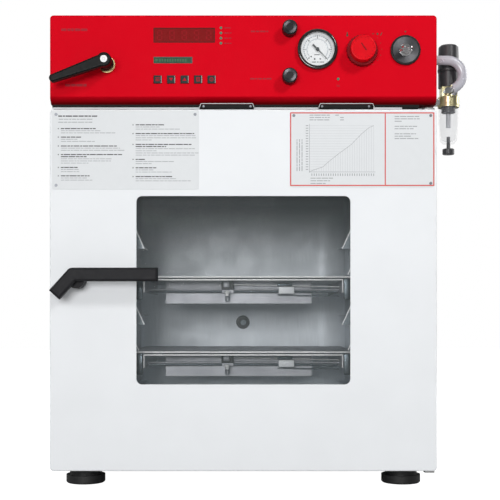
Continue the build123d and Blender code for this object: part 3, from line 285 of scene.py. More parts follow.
def link(name, mesh, surface, body):
    """Makes an object of a bmesh, with its material, riding on a body."""
    bmesh.ops.recalc_face_normals(mesh, faces=mesh.faces)
    bmesh.ops.translate(mesh, vec=MIDDLE, verts=mesh.verts)
    data = bpy.data.meshes.new(name)
    mesh.to_mesh(data)
    mesh.free()
    data.materials.append(surface.material)
    piece = bpy.data.objects.new(name, data)
    bpy.context.scene.collection.objects.link(piece)
    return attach(piece, body)


def flat_print(name, surface, body, face_y, outlines, thickness=0.12):
    """Thin raised shapes on a face that looks along -Y. Outlines are lists of (x, z) in millimetres."""
    mesh = bmesh.new()
    for outline in outlines:
        back = [mesh.verts.new((x * MM, face_y, z * MM)) for x, z in outline]
        front = [mesh.verts.new((x * MM, face_y - thickness * MM, z * MM)) for x, z in outline]
        mesh.faces.new(front)
        mesh.faces.new(back[::-1])
        for i, vertex in enumerate(front):
            j = (i + 1) % len(front)
            mesh.faces.new((vertex, front[j], back[j], back[i]))
    link(name, mesh, surface, body)


def rect(x0, x1, z0, z1):
    return [(x0, z0), (x1, z0), (x1, z1), (x0, z1)]


def frame_outlines(x0, x1, z0, z1, width):
    """Four strips inside the edges of a rectangle."""
    return [rect(x0, x1, z1 - width, z1), rect(x0, x1, z0, z0 + width),
            rect(x0, x0 + width, z0 + width, z1 - width), rect(x1 - width, x1, z0 + width, z1 - width)]


def stroke(x0, z0, x1, z1, width):
    """A straight line of some width, as a quad."""
    length = hypot(x1 - x0, z1 - z0)
    dx, dz = (x1 - x0) / length * width / 2, (z1 - z0) / length * width / 2
    return [(x0 + dz, z0 - dx), (x1 + dz, z1 - dx), (x1 - dz, z1 + dx), (x0 - dz, z0 + dx)]


def dot(x, z, radius, sides=20):
    return [(x + radius * cos(2 * pi * i / sides), z + radius * sin(2 * pi * i / sides))
            for i in range(sides)]


def band(x, z, inner, outer, start, end, steps=40):
    """Part of a ring between two angles in degrees, as short quads."""
    quads = []
    for i in range(steps):
        a, b = (radians(start + (end - start) * k / steps) for k in (i, i + 1))
        quads.append([(x + inner * cos(a), z + inner * sin(a)), (x + outer * cos(a), z + outer * sin(a)),
                      (x + outer * cos(b), z + outer * sin(b)), (x + inner * cos(b), z + inner * sin(b))])
    return quads


# The lit segments of each figure in use, lettered clockwise from the top, with the middle one last.
SEGMENTS = {"0": "abcdef", "1": "bc", "2": "abdeg", "3": "abcdg", "4": "bcfg", "5": "acdfg",
            "6": "acdefg", "8": "abcdefg"}
SEGMENT_WIDE, SEGMENT_HIGH = 0.86, 0.93    # shares of a figure that its segments reach


def digits(text, x, z, height, weight):
    """Seven-segment figures, centred on (x, z)."""
    width, pitch = height * 0.52, height * 0.80
    left = x - (len(text) - 1) * pitch / 2
    shapes = []
    for i, figure in enumerate(text):
        cx, w, h = left + i * pitch, width / 2, height / 2
        places = {"a": (-w, h, w, h), "d": (-w, -h, w, -h), "g": (-w, 0, w, 0), "f": (-w, 0, -w, h),
                  "b": (w, 0, w, h), "e": (-w, -h, -w, 0), "c": (w, -h, w, 0)}
        for segment in SEGMENTS[figure]:
            x0, z0, x1, z1 = places[segment]
            shapes.append(stroke(cx + x0 * SEGMENT_WIDE, z + z0 * SEGMENT_HIGH,
                                 cx + x1 * SEGMENT_WIDE, z + z1 * SEGMENT_HIGH, weight))
    return shapes


def word_bars(x, z, length, height, seed):
    """One line of bars in place of words, each as long as a word would be."""
    shortest, space, stub = 3.5, 1.1, 2
    bars, start, step = [], x, seed
    while start < x + length - stub:
        step = (step * 37 + 11) % 101
        word = min(shortest + step % 9, x + length - start)
        bars.append(rect(start, start + word, z - height / 2, z + height / 2))
        start += word + space
    return bars


def lathe(name, surface, body, centre, profile, sides=64, axis="Y", ripple=None):
    """Turns (radius, along) pairs in millimetres about Y or Z; ripple(angle, radius) may shift the radius."""
    mesh = bmesh.new()
    rings = []
    for radius, along in profile:
        ring = []
        for i in range(sides):
            angle = 2 * pi * i / sides
            r = (ripple(angle, radius) if ripple else radius) * MM
            across, up = r * cos(angle), r * sin(angle)
            offset = (across, along * MM, up) if axis == "Y" else (across, up, along * MM)
            ring.append(mesh.verts.new(Vector(centre) * MM + Vector(offset)))
        rings.append(ring)
    for low, high in zip(rings, rings[1:]):
        for i in range(sides):
            j = (i + 1) % sides
            mesh.faces.new((low[i], low[j], high[j], high[i]))
    mesh.faces.new(rings[0][::-1])
    mesh.faces.new(rings[-1])
    soften(link(name, mesh, surface, body))


def soften(piece, angle=32):
    """Smooth shading, with edges sharper than the angle kept crisp."""
    mesh = bmesh.new()
    mesh.from_mesh(piece.data)
    for edge in mesh.edges:
        edge.smooth = len(edge.link_faces) == 2 and edge.calc_face_angle(0) < radians(angle)
    for face in mesh.faces:
        face.smooth = True
    mesh.to_mesh(piece.data)
    mesh.free()


def tube(name, surface, body, points, radius, order=3):
    """A round wire or pipe along a smooth line through points in millimetres."""
    curve = bpy.data.curves.new(name, "CURVE")
    curve.dimensions = "3D"
    curve.bevel_depth = radius * MM
    curve.bevel_resolution = 4
    curve.use_fill_caps = True
    line = curve.splines.new("NURBS")
    line.points.add(len(points) - 1)
    for target, point in zip(line.points, points):
        target.co = (*(Vector(point) * MM + MIDDLE), 1)
    line.order_u = order
    line.use_endpoint_u = True
    curve.materials.append(surface.material)
    piece = bpy.data.objects.new(name, curve)
    bpy.context.scene.collection.objects.link(piece)
    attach(piece, body)


def rounded_block(name, surface, body, low, high, radius):
    """A block between two corners in millimetres, with rounded edges."""
    mesh = bmesh.new()
    size = Vector(high) - Vector(low)
    middle = (Vector(high) + Vector(low)) / 2
    bmesh.ops.create_cube(mesh, size=1, matrix=Matrix.Translation(middle * MM)
                          @ Matrix.Diagonal((*(size * MM), 1)))
    bmesh.ops.bevel(mesh, geom=mesh.edges[:], offset=radius * MM, segments=3, affect="EDGES",
                    profile=0.5)
    soften(link(name, mesh, surface, body), 50)


# ------------------------------------------------------------------ finish of the CAD pieces
FINISHES = {
    casing_paint: "outer_casing base_plate rear_panel front_frame",
    white_paint: "door_outer_shell door_inner_frame",
    red_paint: "control_panel",
    black_trim: "panel_trim",
    baffle_grey: "filter_baffle",
    stainless: "inner_chamber",
    rack_steel: "rack_rails",
    shelf_metal: "upper_shelf lower_shelf",
    rivet_steel: "casing_screws plate_rivets",
    bright_steel: "hinge_brackets hinge_leaves glass_retainers filter_bracket latch_cam",
    pipe_steel: "vacuum_pipework gas_pipework",
    seal_rubber: "door_seal",
    mat_orange: "heating_mats",
    wool: "chamber_insulation",
    foot_rubber: "feet",
    safety_glass: "safety_glass gauge_glass",
    shield_clear: "polycarbonate_shield",
    clear_plastic: "filter_bowl",
    display_red: "display_window",
    lcd_green: "lcd_window",
    led_green: "indicator_leds",
    board_green: "control_board",
    button_grey: "menu_button down_button up_button enter_button timer_button",
    enamel_black: "gauge_case",
    dial_white: "gauge_dial",
    ink_black: "gauge_pointer",
    knob_black: "air_valve_knob gas_valve_knob key_switch_body thermostat_body",
    red_plastic: "thermostat_knob",
    chrome: "switch_key hose_fittings",
    lever_black: "vacuum_lever",
    handle_black: "door_handle",
    brass: "needle_valve_bodies vacuum_valve_body",
    zinc_yellow: "filter_head",
    regulator_black: "regulator_body regulator_knob drain_knob",
    inlet_black: "mains_inlet",
    plate_white: "door_plates",
    hose_clear: "gas_hose",
}


def dress_cad():
    """Gives every CAD piece its material."""
    for surface, names in FINISHES.items():
        for name in names.split():
            data = nodes[name].data
            data.materials.clear()
            data.materials.append(surface.material)


# ------------------------------------------------------------------ door plates
LINE = 3.5                           # from one printed line to the next
TITLE, HEAVY, PLAIN = 1.9, 1.5, 0.9  # heights of the words
LEFT_COLUMN, RIGHT_COLUMN = -299.0, -176.5
# Each paragraph: the height of its first line and the lengths of its lines.
INFO_LEFT = ((590.5, (57, 65, 89)), (576.6, (33, 27, 57)), (562.0, (94, 97, 106)),
             (548.0, (102, 42, 84, 82, 45)), (526.9, (28, 29, 30)), (513.1, (47, 45, 52)))
INFO_RIGHT = ((596.7, (47, 39, 74)), (582.4, (96, 98, 99, 26)), (564.6, (94, 50, 97, 36, 103, 97)),
              (540.1, (16, 63, 26)), (526.3, (34, 29, 59)), (511.9, (60, 66, 90)))


def print_info_plate(face_y):
    """Bars in two columns of paragraphs, each with a bar for its number, under a title."""
    title_x, subtitle = -303.5, 1.1
    heading = word_bars(title_x, 611.0, 64, TITLE, 3)
    body = word_bars(title_x + 1, 605.9, 57, subtitle, 8) + word_bars(title_x, 601.0, 56, subtitle, 5)
    numbers = []
    for column_x, paragraphs in ((LEFT_COLUMN, INFO_LEFT), (RIGHT_COLUMN, INFO_RIGHT)):
        for i, (top, lines) in enumerate(paragraphs):
            numbers.append(rect(column_x - 5.0, column_x - 3.6, top - 0.9, top + 0.9))
            for k, length in enumerate(lines):
                place = (column_x, top - k * LINE, length)
                if k == 0 or (len(lines) > 4 and k == 1):
                    heading += word_bars(*place, HEAVY, 7 * i + k)
                else:
                    body += word_bars(*place, PLAIN, 5 * i + k + 2)
    flat_print("info_plate_headings", ink_black, "door", face_y, heading + numbers)
    flat_print("info_plate_lines", ink_grey, "door", face_y, body)


PLATE_LEFT, PLATE_RIGHT, PLATE_LOW, PLATE_HIGH = 75.5, 314.0, 496.5, 617.2
PLATE_DIVIDER, PLATE_FRAME = 232.5, 1.9
CHART_LEFT, CHART_BOTTOM, CHART_RIGHT, CHART_TOP = 108.3, 519.5, 213.5, 595.4
CHART_ROWS, CHART_COLUMNS = 18, 27
CHART_LINE = 3.9                     # from one printed line to the next
CURVE = ((0.0, 0.01), (0.21, 0.11), (0.28, 0.20), (0.46, 0.40), (0.65, 0.59), (0.81, 0.82),
         (0.93, 0.96), (1.0, 1.0))


def on_curve(share, inverse=False):
    """Height on the chart's rising line for a share of its width, or the other way round."""
    for (x0, y0), (x1, y1) in zip(CURVE, CURVE[1:]):
        if inverse:
            x0, y0, x1, y1 = y0, x0, y1, x1
        if share <= x1:
            return y0 + (y1 - y0) * (share - x0) / (x1 - x0)
    return 1.0


def print_chart_frame(face_y):
    inset, half = 1.0, 0.9
    lines = frame_outlines(PLATE_LEFT + inset, PLATE_RIGHT - inset, PLATE_LOW, PLATE_HIGH, PLATE_FRAME)
    lines.append(rect(PLATE_DIVIDER - half, PLATE_DIVIDER + half,
                      PLATE_LOW + PLATE_FRAME, PLATE_HIGH - PLATE_FRAME))
    flat_print("chart_plate_frame", ink_red, "door", face_y, lines)


def chart_scales():
    """Grid under the curve, and a bar in place of the number at each of its lines."""
    wide, high = CHART_RIGHT - CHART_LEFT, CHART_TOP - CHART_BOTTOM
    start, shortest = 0.8, 1.4       # where grid lines begin, and the least that they reach
    grid, labels = [], []
    for i in range(1, CHART_ROWS + 1):
        z = CHART_BOTTOM + high * i / CHART_ROWS
        end = CHART_LEFT + wide * on_curve(i / CHART_ROWS, inverse=True)
        grid.append(rect(CHART_LEFT + start, max(end, CHART_LEFT + shortest), z - 0.15, z + 0.15))
        labels.append(rect(CHART_LEFT - 6.0, CHART_LEFT - 2.0, z - 0.6, z + 0.6))
    for i in range(1, CHART_COLUMNS + 1):
        x = CHART_LEFT + wide * i / CHART_COLUMNS
        top = CHART_BOTTOM + high * on_curve(i / CHART_COLUMNS)
        grid.append(rect(x - 0.2, x + 0.2, CHART_BOTTOM + start, max(top, CHART_BOTTOM + shortest)))
        labels.append(rect(x - 0.6, x + 0.6, CHART_BOTTOM - 6.5, CHART_BOTTOM - 2.5))
    return grid, labels


def chart_words():
    """Bars in place of the words round the chart and in the column right of the divider."""
    small, large = 1.2, 1.3
    words = []
    for i in range(3):
        words += word_bars(108.5, 612.6 - CHART_LINE * i, 33, small, i + 1)
        words += word_bars(150.5 + 8 * (i > 0), 612.6 - CHART_LINE * i, 6, small, i + 4)
        words += word_bars(110.0, 509.3 - 4.3 * i, 37 - 5 * i, small, i + 9)
        for bar in word_bars(521.0, 0, 52, small, i + 3):
            words.append([(87.9 + 4.1 * i - across, along) for along, across in bar])
    for top, lengths in ((610.4, (41, 41, 14)), (594.2, (37, 31)), (582.0, (35, 28, 39))):
        for k, length in enumerate(lengths):
            words += word_bars(247.8, top - CHART_LINE * k, length, large, k + length)
    return words


def print_chart_plate(face_y):
    print_chart_frame(face_y)
    wide, high = CHART_RIGHT - CHART_LEFT, CHART_TOP - CHART_BOTTOM
    half, overrun = 0.3, 3
    axes = [rect(CHART_LEFT - half, CHART_LEFT + half, CHART_BOTTOM - 1, CHART_TOP + overrun),
            rect(CHART_LEFT - 1, CHART_RIGHT + overrun, CHART_BOTTOM - half, CHART_BOTTOM + half)]
    line = [stroke(CHART_LEFT + wide * x0, CHART_BOTTOM + high * y0,
                   CHART_LEFT + wide * x1, CHART_BOTTOM + high * y1, 0.6)
            for (x0, y0), (x1, y1) in zip(CURVE, CURVE[1:])]
    grid, labels = chart_scales()
    flat_print("chart_grid", ink_light, "door", face_y, grid)
    flat_print("chart_lines", ink_grey, "door", face_y, axes + labels + line + chart_words())


# ------------------------------------------------------------------ control panel
def place_of(node):
    """Middle of a node's front face: x and z in millimetres and the face's y in metres."""
    low, high = box_of(node)
    return (low.x + high.x) / 2 / MM, (low.z + high.z) / 2 / MM, low.y


def window_inside(node, lip):
    """What shows of a window inside its hidden lip, in millimetres, and its face's y in metres."""
    low, high = box_of(node)
    return low.x / MM + lip, high.x / MM - lip, low.z / MM + lip, high.z / MM - lip, low.y


def dress_display():
    """Unlit seven-segment figures, each with its point, in a thin border."""
    x0, x1, z0, z1, face_y = window_inside("display_window", 3.2)
    flat_print("display_border", display_edge, "cabinet", face_y, frame_outlines(x0, x1, z0, z1, 1.7))
    count, height, weight = 5, 15.5, 1.7
    pitch, figures = (x1 - x0) / count, []
    for i in range(count):
        centre = x0 + pitch * (i + 0.5)
        figures += digits("8", centre, (z0 + z1) / 2, height, weight)
        figures.append(dot(centre + pitch * 0.40, z0 + 4.2, 0.8, 10))
    flat_print("display_segments", segment_red, "cabinet", face_y, figures, 0.05)


def dress_lcd():
    """Dark border, wider at its top and right as painted shadow of the recess, and a row of character cells
    after a round mark.
    """
    x0, x1, z0, z1, face_y = window_inside("lcd_window", 3.0)
    above, below, right = 1.6, 0.8, 3.0
    # painted shadow: the wide dark strips at top and right stand for the recess's shadow
    flat_print("lcd_border_and_shadow", lcd_frame_and_shadow, "cabinet", face_y,
               [rect(x0, x1, z1 - above, z1), rect(x1 - right, x1, z0, z1 - above),
                rect(x0, x1 - right, z0, z0 + below)])
    middle, first, pitch, width = (z0 + z1) / 2, x0 + 9, 4.2, 3
    cells = [rect(first + pitch * i, first + width + pitch * i, middle - 2.6, middle + 2.2)
             for i in range(11)]
    flat_print("lcd_cells", lcd_light, "cabinet", face_y, [dot(x0 + 4.5, middle, 2.4)] + cells, 0.04)


def menu_symbol(x, z):
    return [rect(x - 3.6, x + 3.6, z + d - 0.5, z + d + 0.5) for d in (2.4, 0, -2.4)]


def down_symbol(x, z):
    return [[(x - 3.2, z + 2.4), (x + 3.2, z + 2.4), (x, z - 2.9)]]


def up_symbol(x, z):
    return [[(x - 3.2, z - 2.4), (x + 3.2, z - 2.4), (x, z + 2.9)]]


def enter_symbol(x, z):
    lines = [rect(x - 1.4, x + 1.4, z + 0.6, z + 1.5), rect(x - 1.4, x + 1.4, z - 1.6, z - 0.7)]
    return frame_outlines(x - 2.8, x + 2.8, z - 3.4, z + 3.4, 0.9) + lines


def timer_symbol(x, z):
    hands = [rect(x - 0.35, x + 0.35, z, z + 2.0), rect(x, x + 1.6, z - 0.35, z + 0.35)]
    return band(x, z, 2.4, 3.3, 0, 360) + hands


def dress_buttons():
    """A symbol on each key, and a painted highlight down its right edge."""
    half = 6.5                       # half of a key's face
    symbols = {"menu": menu_symbol, "down": down_symbol, "up": up_symbol, "enter": enter_symbol,
               "timer": timer_symbol}
    for key, symbol in symbols.items():
        name, body = key + "_button", key + "_push"
        x, z, face_y = place_of(name)
        flat_print(name + "_symbol", symbol_red, body, face_y, symbol(x, z), 0.08)
        # painted highlight: a pale strip down the right edge of each key
        flat_print(name + "_painted_highlight", button_painted_highlight, body, face_y,
                   [rect(x + half - 0.9, x + half - 0.2, z - half + 0.8, z + half - 0.8)], 0.03)


THERMOSTAT_X, THERMOSTAT_Z, THERMOSTAT_SCALE = 198, 721, 29    # middle and radius of its printed dots


def print_panel_marks(face_y):
    """Bars in place of the words on the control front, and the small marks beside its controls."""
    labels = word_bars(-298.5, 752.7, 46, 4.2, 5) + word_bars(-292, 661.9, 35, 4.2, 9)
    labels += word_bars(12, 750.0, 29, 2.6, 6) + word_bars(11, 672.4, 35, 2.6, 4)
    for z in (755.8, 747.4, 739.0, 730.6):                 # one beside each indicator
        labels += word_bars(-31.5, z, 12, 1.8, int(z))
    labels += band(155.4, 664.0, 2.2, 3.0, 200, 340, 10) + [rect(152.4, 158.4, 659.6, 660.5)]
    flat_print("panel_labels", dark_print, "cabinet", face_y, labels, 0.05)

    thermometer = [rect(169.4, 171.2, 744.8, 749.0), dot(170.3, 743.6, 1.9)]
    alarm = [dot(219.8, 746.0, 1.7), stroke(224.6, 743.2, 227.4, 748.2, 1.3),
             rect(210.5, 214.5, 745.6, 746.5)]
    marks = thermometer + alarm
    for angle in range(-60, 61, 20):
        a = radians(angle)
        marks.append(dot(THERMOSTAT_X + THERMOSTAT_SCALE * cos(a),
                         THERMOSTAT_Z + THERMOSTAT_SCALE * sin(a), 0.6, 8))
    key_arrow = [(263.8, 751.0), (267.4, 751.0), (265.6, 747.6)]
    flat_print("panel_marks", mark_green, "cabinet", face_y, marks + [key_arrow], 0.05)


DIAL_START, DIAL_SWEEP = 225, 270    # degrees, turning clockwise from the lower left


def dial_angle(step, steps):
    return radians(DIAL_START - DIAL_SWEEP * step / steps)


def dress_gauge():
    """Rings, ticks, figures and bars on the dial, and a cap on the pointer's hub."""
    x, z, face_y = place_of("gauge_dial")
    end = DIAL_START - DIAL_SWEEP
    rings = band(x, z, 21.6, 23.4, end, DIAL_START, 60) + band(x, z, 16.6, 18.0, end, DIAL_START, 60)
    flat_print("dial_rings", dial_grey, "cabinet", face_y, rings, 0.04)
    ticks, figures = [], []
    for i in range(31):
        a = dial_angle(i, 30)
        inner, weight = (21.0, 0.35) if i % 5 else (19.8, 0.7)
        ticks.append(stroke(x + inner * cos(a), z + inner * sin(a),
                            x + 23.8 * cos(a), z + 23.8 * sin(a), weight))
    for i in range(16):
        a = dial_angle(i, 15)
        ticks.append(stroke(x + 15.4 * cos(a), z + 15.4 * sin(a), x + 17.6 * cos(a), z + 17.6 * sin(a), 0.3))
    for value in range(7):
        a, reach = dial_angle(value, 6), 19.5
        figures += digits(str(value), x + reach * cos(a), z + reach * sin(a), 2.6, 0.5)
    figures += word_bars(x - 5, z - 8.6, 10, 1.3, 5) + word_bars(x - 9, z - 20.6, 20, 1.3, 3)
    figures += [dot(x - 10.2, z - 11.6, 1.2), rect(x - 5.6, x - 3.4, z - 16.8, z - 14.2),
                rect(x + 3.6, x + 5.4, z - 16.8, z - 14.2)]
    flat_print("dial_marks", ink_black, "cabinet", face_y, ticks + figures, 0.05)
    pointer_y = -279.9               # front of the pointer's hub
    lathe("gauge_hub_cap", ink_black, "gauge_hand", (x, pointer_y, z),
          ((2.3, 0.3), (2.3, -0.2), (1.6, -0.5)), 24)


def fluted(flutes, depth, outer):
    """Ripple that cuts flutes into the widest part of a turned piece."""
    def shift(angle, radius):
        if radius < outer - 0.01:
            return radius
        return radius - depth * (0.5 - 0.5 * cos(flutes * angle)) ** 0.7
    return shift


def dress_valve_knob(body):
    """Fluted rim and a turned face on a needle valve's knob."""
    x, z, face_y = place_of(body + "_knob")
    front, rim = face_y / MM, 12.3
    lathe(body + "_grip", knob_black, body, (x, 0, z),
          ((rim, front + 16.4), (rim, front + 2.2), (rim - 1, front + 0.3), (rim - 1.3, front - 0.05)),
          144, ripple=fluted(24, 0.45, rim))
    lathe(body + "_face", knob_face, body, (x, 0, z),
          ((10.4, front - 0.02), (10.2, front - 0.25), (6.0, front - 0.15), (5.6, front + 0.15)), 64)


def dress_thermostat():
    """Fluted skirt, raised face and ticks of the thermostat's knob, with its slot drawn as a line of painted
    shade.
    """
    x, z, face_y = place_of("thermostat_knob")
    front, rim, raised = face_y / MM, 25.8, 0.3
    lathe("thermostat_skirt", dark_red_plastic, "thermostat", (x, 0, z),
          ((rim, front + 23.8), (rim, front + 17.6), (rim - 1.4, front + 16.8)), 240,
          ripple=fluted(30, 1.2, rim))
    lathe("thermostat_face", red_plastic, "thermostat", (x, 0, z),
          ((20.1, front + 0.02), (19.4, front - raised), (17.6, front - raised), (17.2, front - 0.02)), 96)
    # painted shade: a dark line stands in for the slot's shaded groove
    flat_print("thermostat_slot_shade", dark_red_plastic, "thermostat", face_y - raised * MM,
               [stroke(x - 3.6, z + 7.4, x + 4.8, z - 4.6, 1.7)], 0.12)
    ticks = [stroke(x + 15.0 * cos(a), z + 15.0 * sin(a), x + 16.6 * cos(a), z + 16.6 * sin(a), 0.4)
             for a in (radians(20 * i) for i in range(18))]
    flat_print("thermostat_ticks", dark_red_plastic, "thermostat", face_y - raised * MM, ticks, 0.06)


def dress_key_switch():
    x, z, face_y = place_of("key_switch_body")
    front = face_y / MM
    lathe("key_bezel_face", bezel_face, "cabinet", (x, 0, z),
          ((21.6, front - 0.02), (21.2, front - 0.45), (10.9, front - 0.1), (10.7, front + 0.6)), 96)
    lathe("key_barrel_ring", key_steel, "cabinet", (x, 0, z),
          ((10.4, front + 0.2), (10.2, front - 0.5), (9.2, front - 0.5), (9.1, front + 0.3)), 64)


# ------------------------------------------------------------------ lever, filter, trim
LEVER_X, LEVER_Z = -223.0, 694.0     # the vacuum lever turns about this place
FILTER_X, FILTER_Y = 352.0, -195.0   # middle of the filter


def dress_lever():
    """Cap with a printed ring, and four rings round the hub."""
    front = box_of("vacuum_lever")[0].y / MM
    lathe("lever_cap", cap_white, "vacuum_tap", (LEVER_X, 0, LEVER_Z),
          ((5.7, front + 1.4), (5.7, front + 0.2), (5.2, front - 0.2), (0.6, front - 0.3)), 48)
    flat_print("lever_cap_ring", ink_light, "vacuum_tap", (front - 0.25) * MM,
               band(LEVER_X, LEVER_Z, 1.7, 2.2, 0, 360, 24), 0.1)
    hub, proud = 11.3, 0.6
    for i in range(4):
        y = front + 16.0 + 4.5 * i
        lathe(f"lever_hub_ring_{i}", lever_black, "vacuum_tap", (LEVER_X, 0, LEVER_Z),
              ((hub, y + 1.4), (hub + proud, y + 0.9), (hub + proud, y + 0.3), (hub, y - 0.2)), 64)


def filter_ring(name, surface, body, radius, proud, low, high, slope, sides=96):
    """A raised ring round the filter's upright axis, with sloping sides."""
    lathe(name, surface, body, (FILTER_X, FILTER_Y, 0),
          ((radius, low), (radius + proud, low + slope), (radius + proud, high - slope), (radius, high)),
          sides, "Z")


def dress_filter():
    filter_ring("regulator_band", regulator_black, "regulator_cap", 18.15, 0.35, 702.4, 706.2, 0.8)
    filter_ring("head_ring", zinc_yellow, "cabinet", 18.1, 0.5, 643.0, 646.0, 0.6)
    for i in range(4):
        low = 581.3 - 3.4 * i
        filter_ring(f"drain_rib_{i}", clear_plastic, "drain_tap", 3.4, 1.2, low, low + 2.2, 0.6, 32)


def dress_trim():
    """Pale joint under the control front, and painted highlights on the edges of its two catches."""
    joint_y = -0.2630                # front of the strip; the catches stand forward of it
    joint = [rect(x0, x1, 624.9, 627.6) for x0, x1 in ((-315.5, -72), (17.5, 124), (214.5, 262))]
    flat_print("trim_line", trim_line, "cabinet", joint_y, joint, 0.3)
    fold, foot, splay, edges = 631.5, 625.4, 2.4, []
    # painted highlight: pale lines along each catch's fold and sloping sides
    for x0, x1 in ((-69.6, 15.1), (126.0, 212.0)):
        edges += [rect(x0, x1, fold - 0.5, fold + 0.5), stroke(x0, fold, x0 - splay, foot, 0.9),
                  stroke(x1, fold, x1 + splay, foot, 0.9)]
    flat_print("catch_painted_highlights", catch_painted_highlight, "cabinet", box_of("panel_trim")[0].y, edges, 0.2)


# ------------------------------------------------------------------ chamber
RACK_PITCH = 64.0                    # from one rack level to the next


def dress_port():
    """Dark ring and plug of the port in the chamber's back."""
    back = 103.0                     # inner face of the chamber's back
    lathe("port_ring", port_black, "cabinet", (0, 0, 269.7),
          ((13.6, back - 0.02), (13.2, back - 1.4), (10.6, back - 1.6), (10.0, back + 0.4)), 48)
    lathe("port_plug", gusset_steel, "cabinet", (0.8, 0, 269.0),
          ((5.4, back - 1.5), (5.0, back - 2.0), (2.4, back - 2.1), (2.2, back - 1.7)), 32)


def dress_rails():
    """Hooks on the rack rails, with a painted highlight along each slanting edge, deeper at every other
    level.
    """
    rails_y = box_of("rack_rails")[0].y
    first, rise, slant, wall = 156.8, 17.0, 182.0, 199.6
    plates, edges = [], []
    for side in (-1, 1):
        for level in range(5):
            top = first + RACK_PITCH * level
            low, inner = (top - 16.0, 167.0) if level % 2 == 0 else (top + 4.5, 176.3)
            plates.append([(side * inner, low), (side * slant, top + rise), (side * wall, top + rise),
                           (side * wall, low)][::side])
            # painted highlight: a bright stroke along each hook's slanting edge
            edges.append(stroke(side * inner, low, side * slant, top + rise, 1.5))
    flat_print("rail_hooks", gusset_steel, "cabinet", rails_y, plates, 0.6)
    flat_print("rail_hook_painted_highlights", edge_steel, "cabinet", rails_y - 0.6 * MM, edges, 0.3)


HANGER_Y = -146.0                    # front of the cross plate under each shelf


def dress_shelf_edges(node, body, top, front):
    """Bright rounded lips of the plate and the tray, and a dark bracket at each end."""
    half_plate, plate_z = 189.5, top - 1.4
    tube(node + "_lip", edge_steel, body,
         [(x, front, plate_z) for x in (-half_plate, 0, half_plate)], 1.5, order=2)
    half_tray, tray_z = 169.2, top - 6.2
    right = [(half_tray - 3.2, tray_z), (half_tray - 0.6, tray_z),
             (half_tray, top - 8), (half_tray, top - 27.6)]
    left = [(-x, z) for x, z in reversed(right)]
    tube(node + "_tray_lip", edge_steel, body,
         [(x, front, z) for x, z in left + [(0, tray_z)] + right], 1.3, order=2)
    inner, outer = 171.5, 183.0
    for side, low_x in (("left", -outer), ("right", inner)):
        rounded_block(f"{node}_bracket_{side}", rod_dark, body, (low_x, front + 1, top - 40),
                      (low_x + outer - inner, front + 5, top - 4), 1.2)


def dress_shelf_rods(node, body, top):
    """The dark rod, and a thin one above and below it."""
    rods = (("dark_rod", rod_dark, 1.7, 9, (-165, -25.5), (165, -25.5)),
            ("thin_rod", edge_steel, 0.9, 12, (-20, -13), (170, -17)),
            ("lower_rod", rod_dark, 0.9, 11, (60, -31), (168, -33)))
    for name, surface, radius, forward, *ends in rods:
        tube(f"{node}_{name}", surface, body,
             [(x, HANGER_Y - forward, top + drop) for x, drop in ends], radius, order=2)


def dress_shelf_clamp(node, body, top):
    """Clamp on the rod: jaw, block, fluted screw and the ring that it is turned by."""
    x, y = -27.0, HANGER_Y - 18
    rounded_block(node + "_clamp_jaw", port_black, body,
                  (x - 11, y - 1.5, top - 22), (x + 10, y + 3, top - 8), 1.0)
    rounded_block(node + "_clamp_block", shelf_metal, body,
                  (x - 7.5, y - 4, top - 18), (x + 3, y - 1, top - 8), 1.2)
    screw_x, screw_y, head = x - 1, y - 3, 4.9
    lathe(node + "_clamp_screw", edge_steel, body, (screw_x, screw_y, 0),
          ((2.0, top - 24), (4.6, top - 25), (head, top - 28), (3.2, top - 29.5), (3.0, top - 33)), 32, "Z",
          ripple=fluted(12, 0.5, head))
    wide, high, steps = 3.4, 5.4, 16
    turns = (2 * pi * k / steps for k in range(steps + 1))
    tube(node + "_clamp_ring", rod_dark, body,
         [(screw_x + wide * cos(t), screw_y, top - 37.5 + high * sin(t)) for t in turns], 0.75)


def dress_shelf(node, body):
    """What hangs under a shelf's front, down from its plate's top."""
    low, high = box_of(node)
    top, front = high.z / MM, low.y / MM
    dress_shelf_edges(node, body, top, front)
    dress_shelf_rods(node, body, top)
    dress_shelf_clamp(node, body, top)
    rounded_block(node + "_tab", tab_white, body, (62, HANGER_Y - 16.4, top - 29.0),
                  (89, HANGER_Y - 14.0, top - 16.8), 1.1)
    rounded_block(node + "_tab_top", rod_dark, body, (59.5, HANGER_Y - 16.8, top - 15.6),
                  (86, HANGER_Y - 13.8, top - 11.2), 1.0)


# ------------------------------------------------------------------ camera, light and studio
def set_camera():
    data = bpy.data.cameras.new("camera")
    data.lens = 74.66
    data.shift_x, data.shift_y = 0.018, 0.124
    camera = bpy.data.objects.new("camera", data)
    camera.location = MIDDLE + Vector((-0.0039, -1.975, 0.290))
    camera.rotation_euler = (pi / 2, 0, 0)
    bpy.context.scene.collection.objects.link(camera)
    bpy.context.scene.camera = camera


def area_light(name, place, target, size, energy):
    """A rectangular lamp aimed at a target, both in metres from the cabinet's middle."""
    data = bpy.data.lights.new(name, "AREA")
    data.shape = "RECTANGLE"
    data.size, data.size_y = size
    data.energy = energy
    lamp = bpy.data.objects.new(name, data)
    lamp.location = MIDDLE + Vector(place)
    lamp.rotation_euler = (Vector(target) - Vector(place)).to_track_quat("-Z", "Y").to_euler()
    bpy.context.scene.collection.objects.link(lamp)


def set_floor():
    """Plain pale floor that the camera sees as white."""
    mesh = bmesh.new()
    bmesh.ops.create_grid(mesh, x_segments=1, y_segments=1, size=6.0)
    data = bpy.data.meshes.new("floor")
    mesh.to_mesh(data)
    mesh.free()
    floor = bpy.data.objects.new("floor", data)
    bpy.context.scene.collection.objects.link(floor)
    paper = Surface("floor_paper", (0.40, 0.40, 0.40), 0.8, Specular_IOR_Level=0.0)
    paper.tint(paper.noise(0.4), 0.01)
    paper.shader.inputs["Emission Color"].default_value = (1, 1, 1, 1)
    seen = paper.node("ShaderNodeLightPath")
    paper.links.new(seen.outputs["Is Camera Ray"], paper.shader.inputs["Emission Strength"])
    data.materials.append(paper.material)


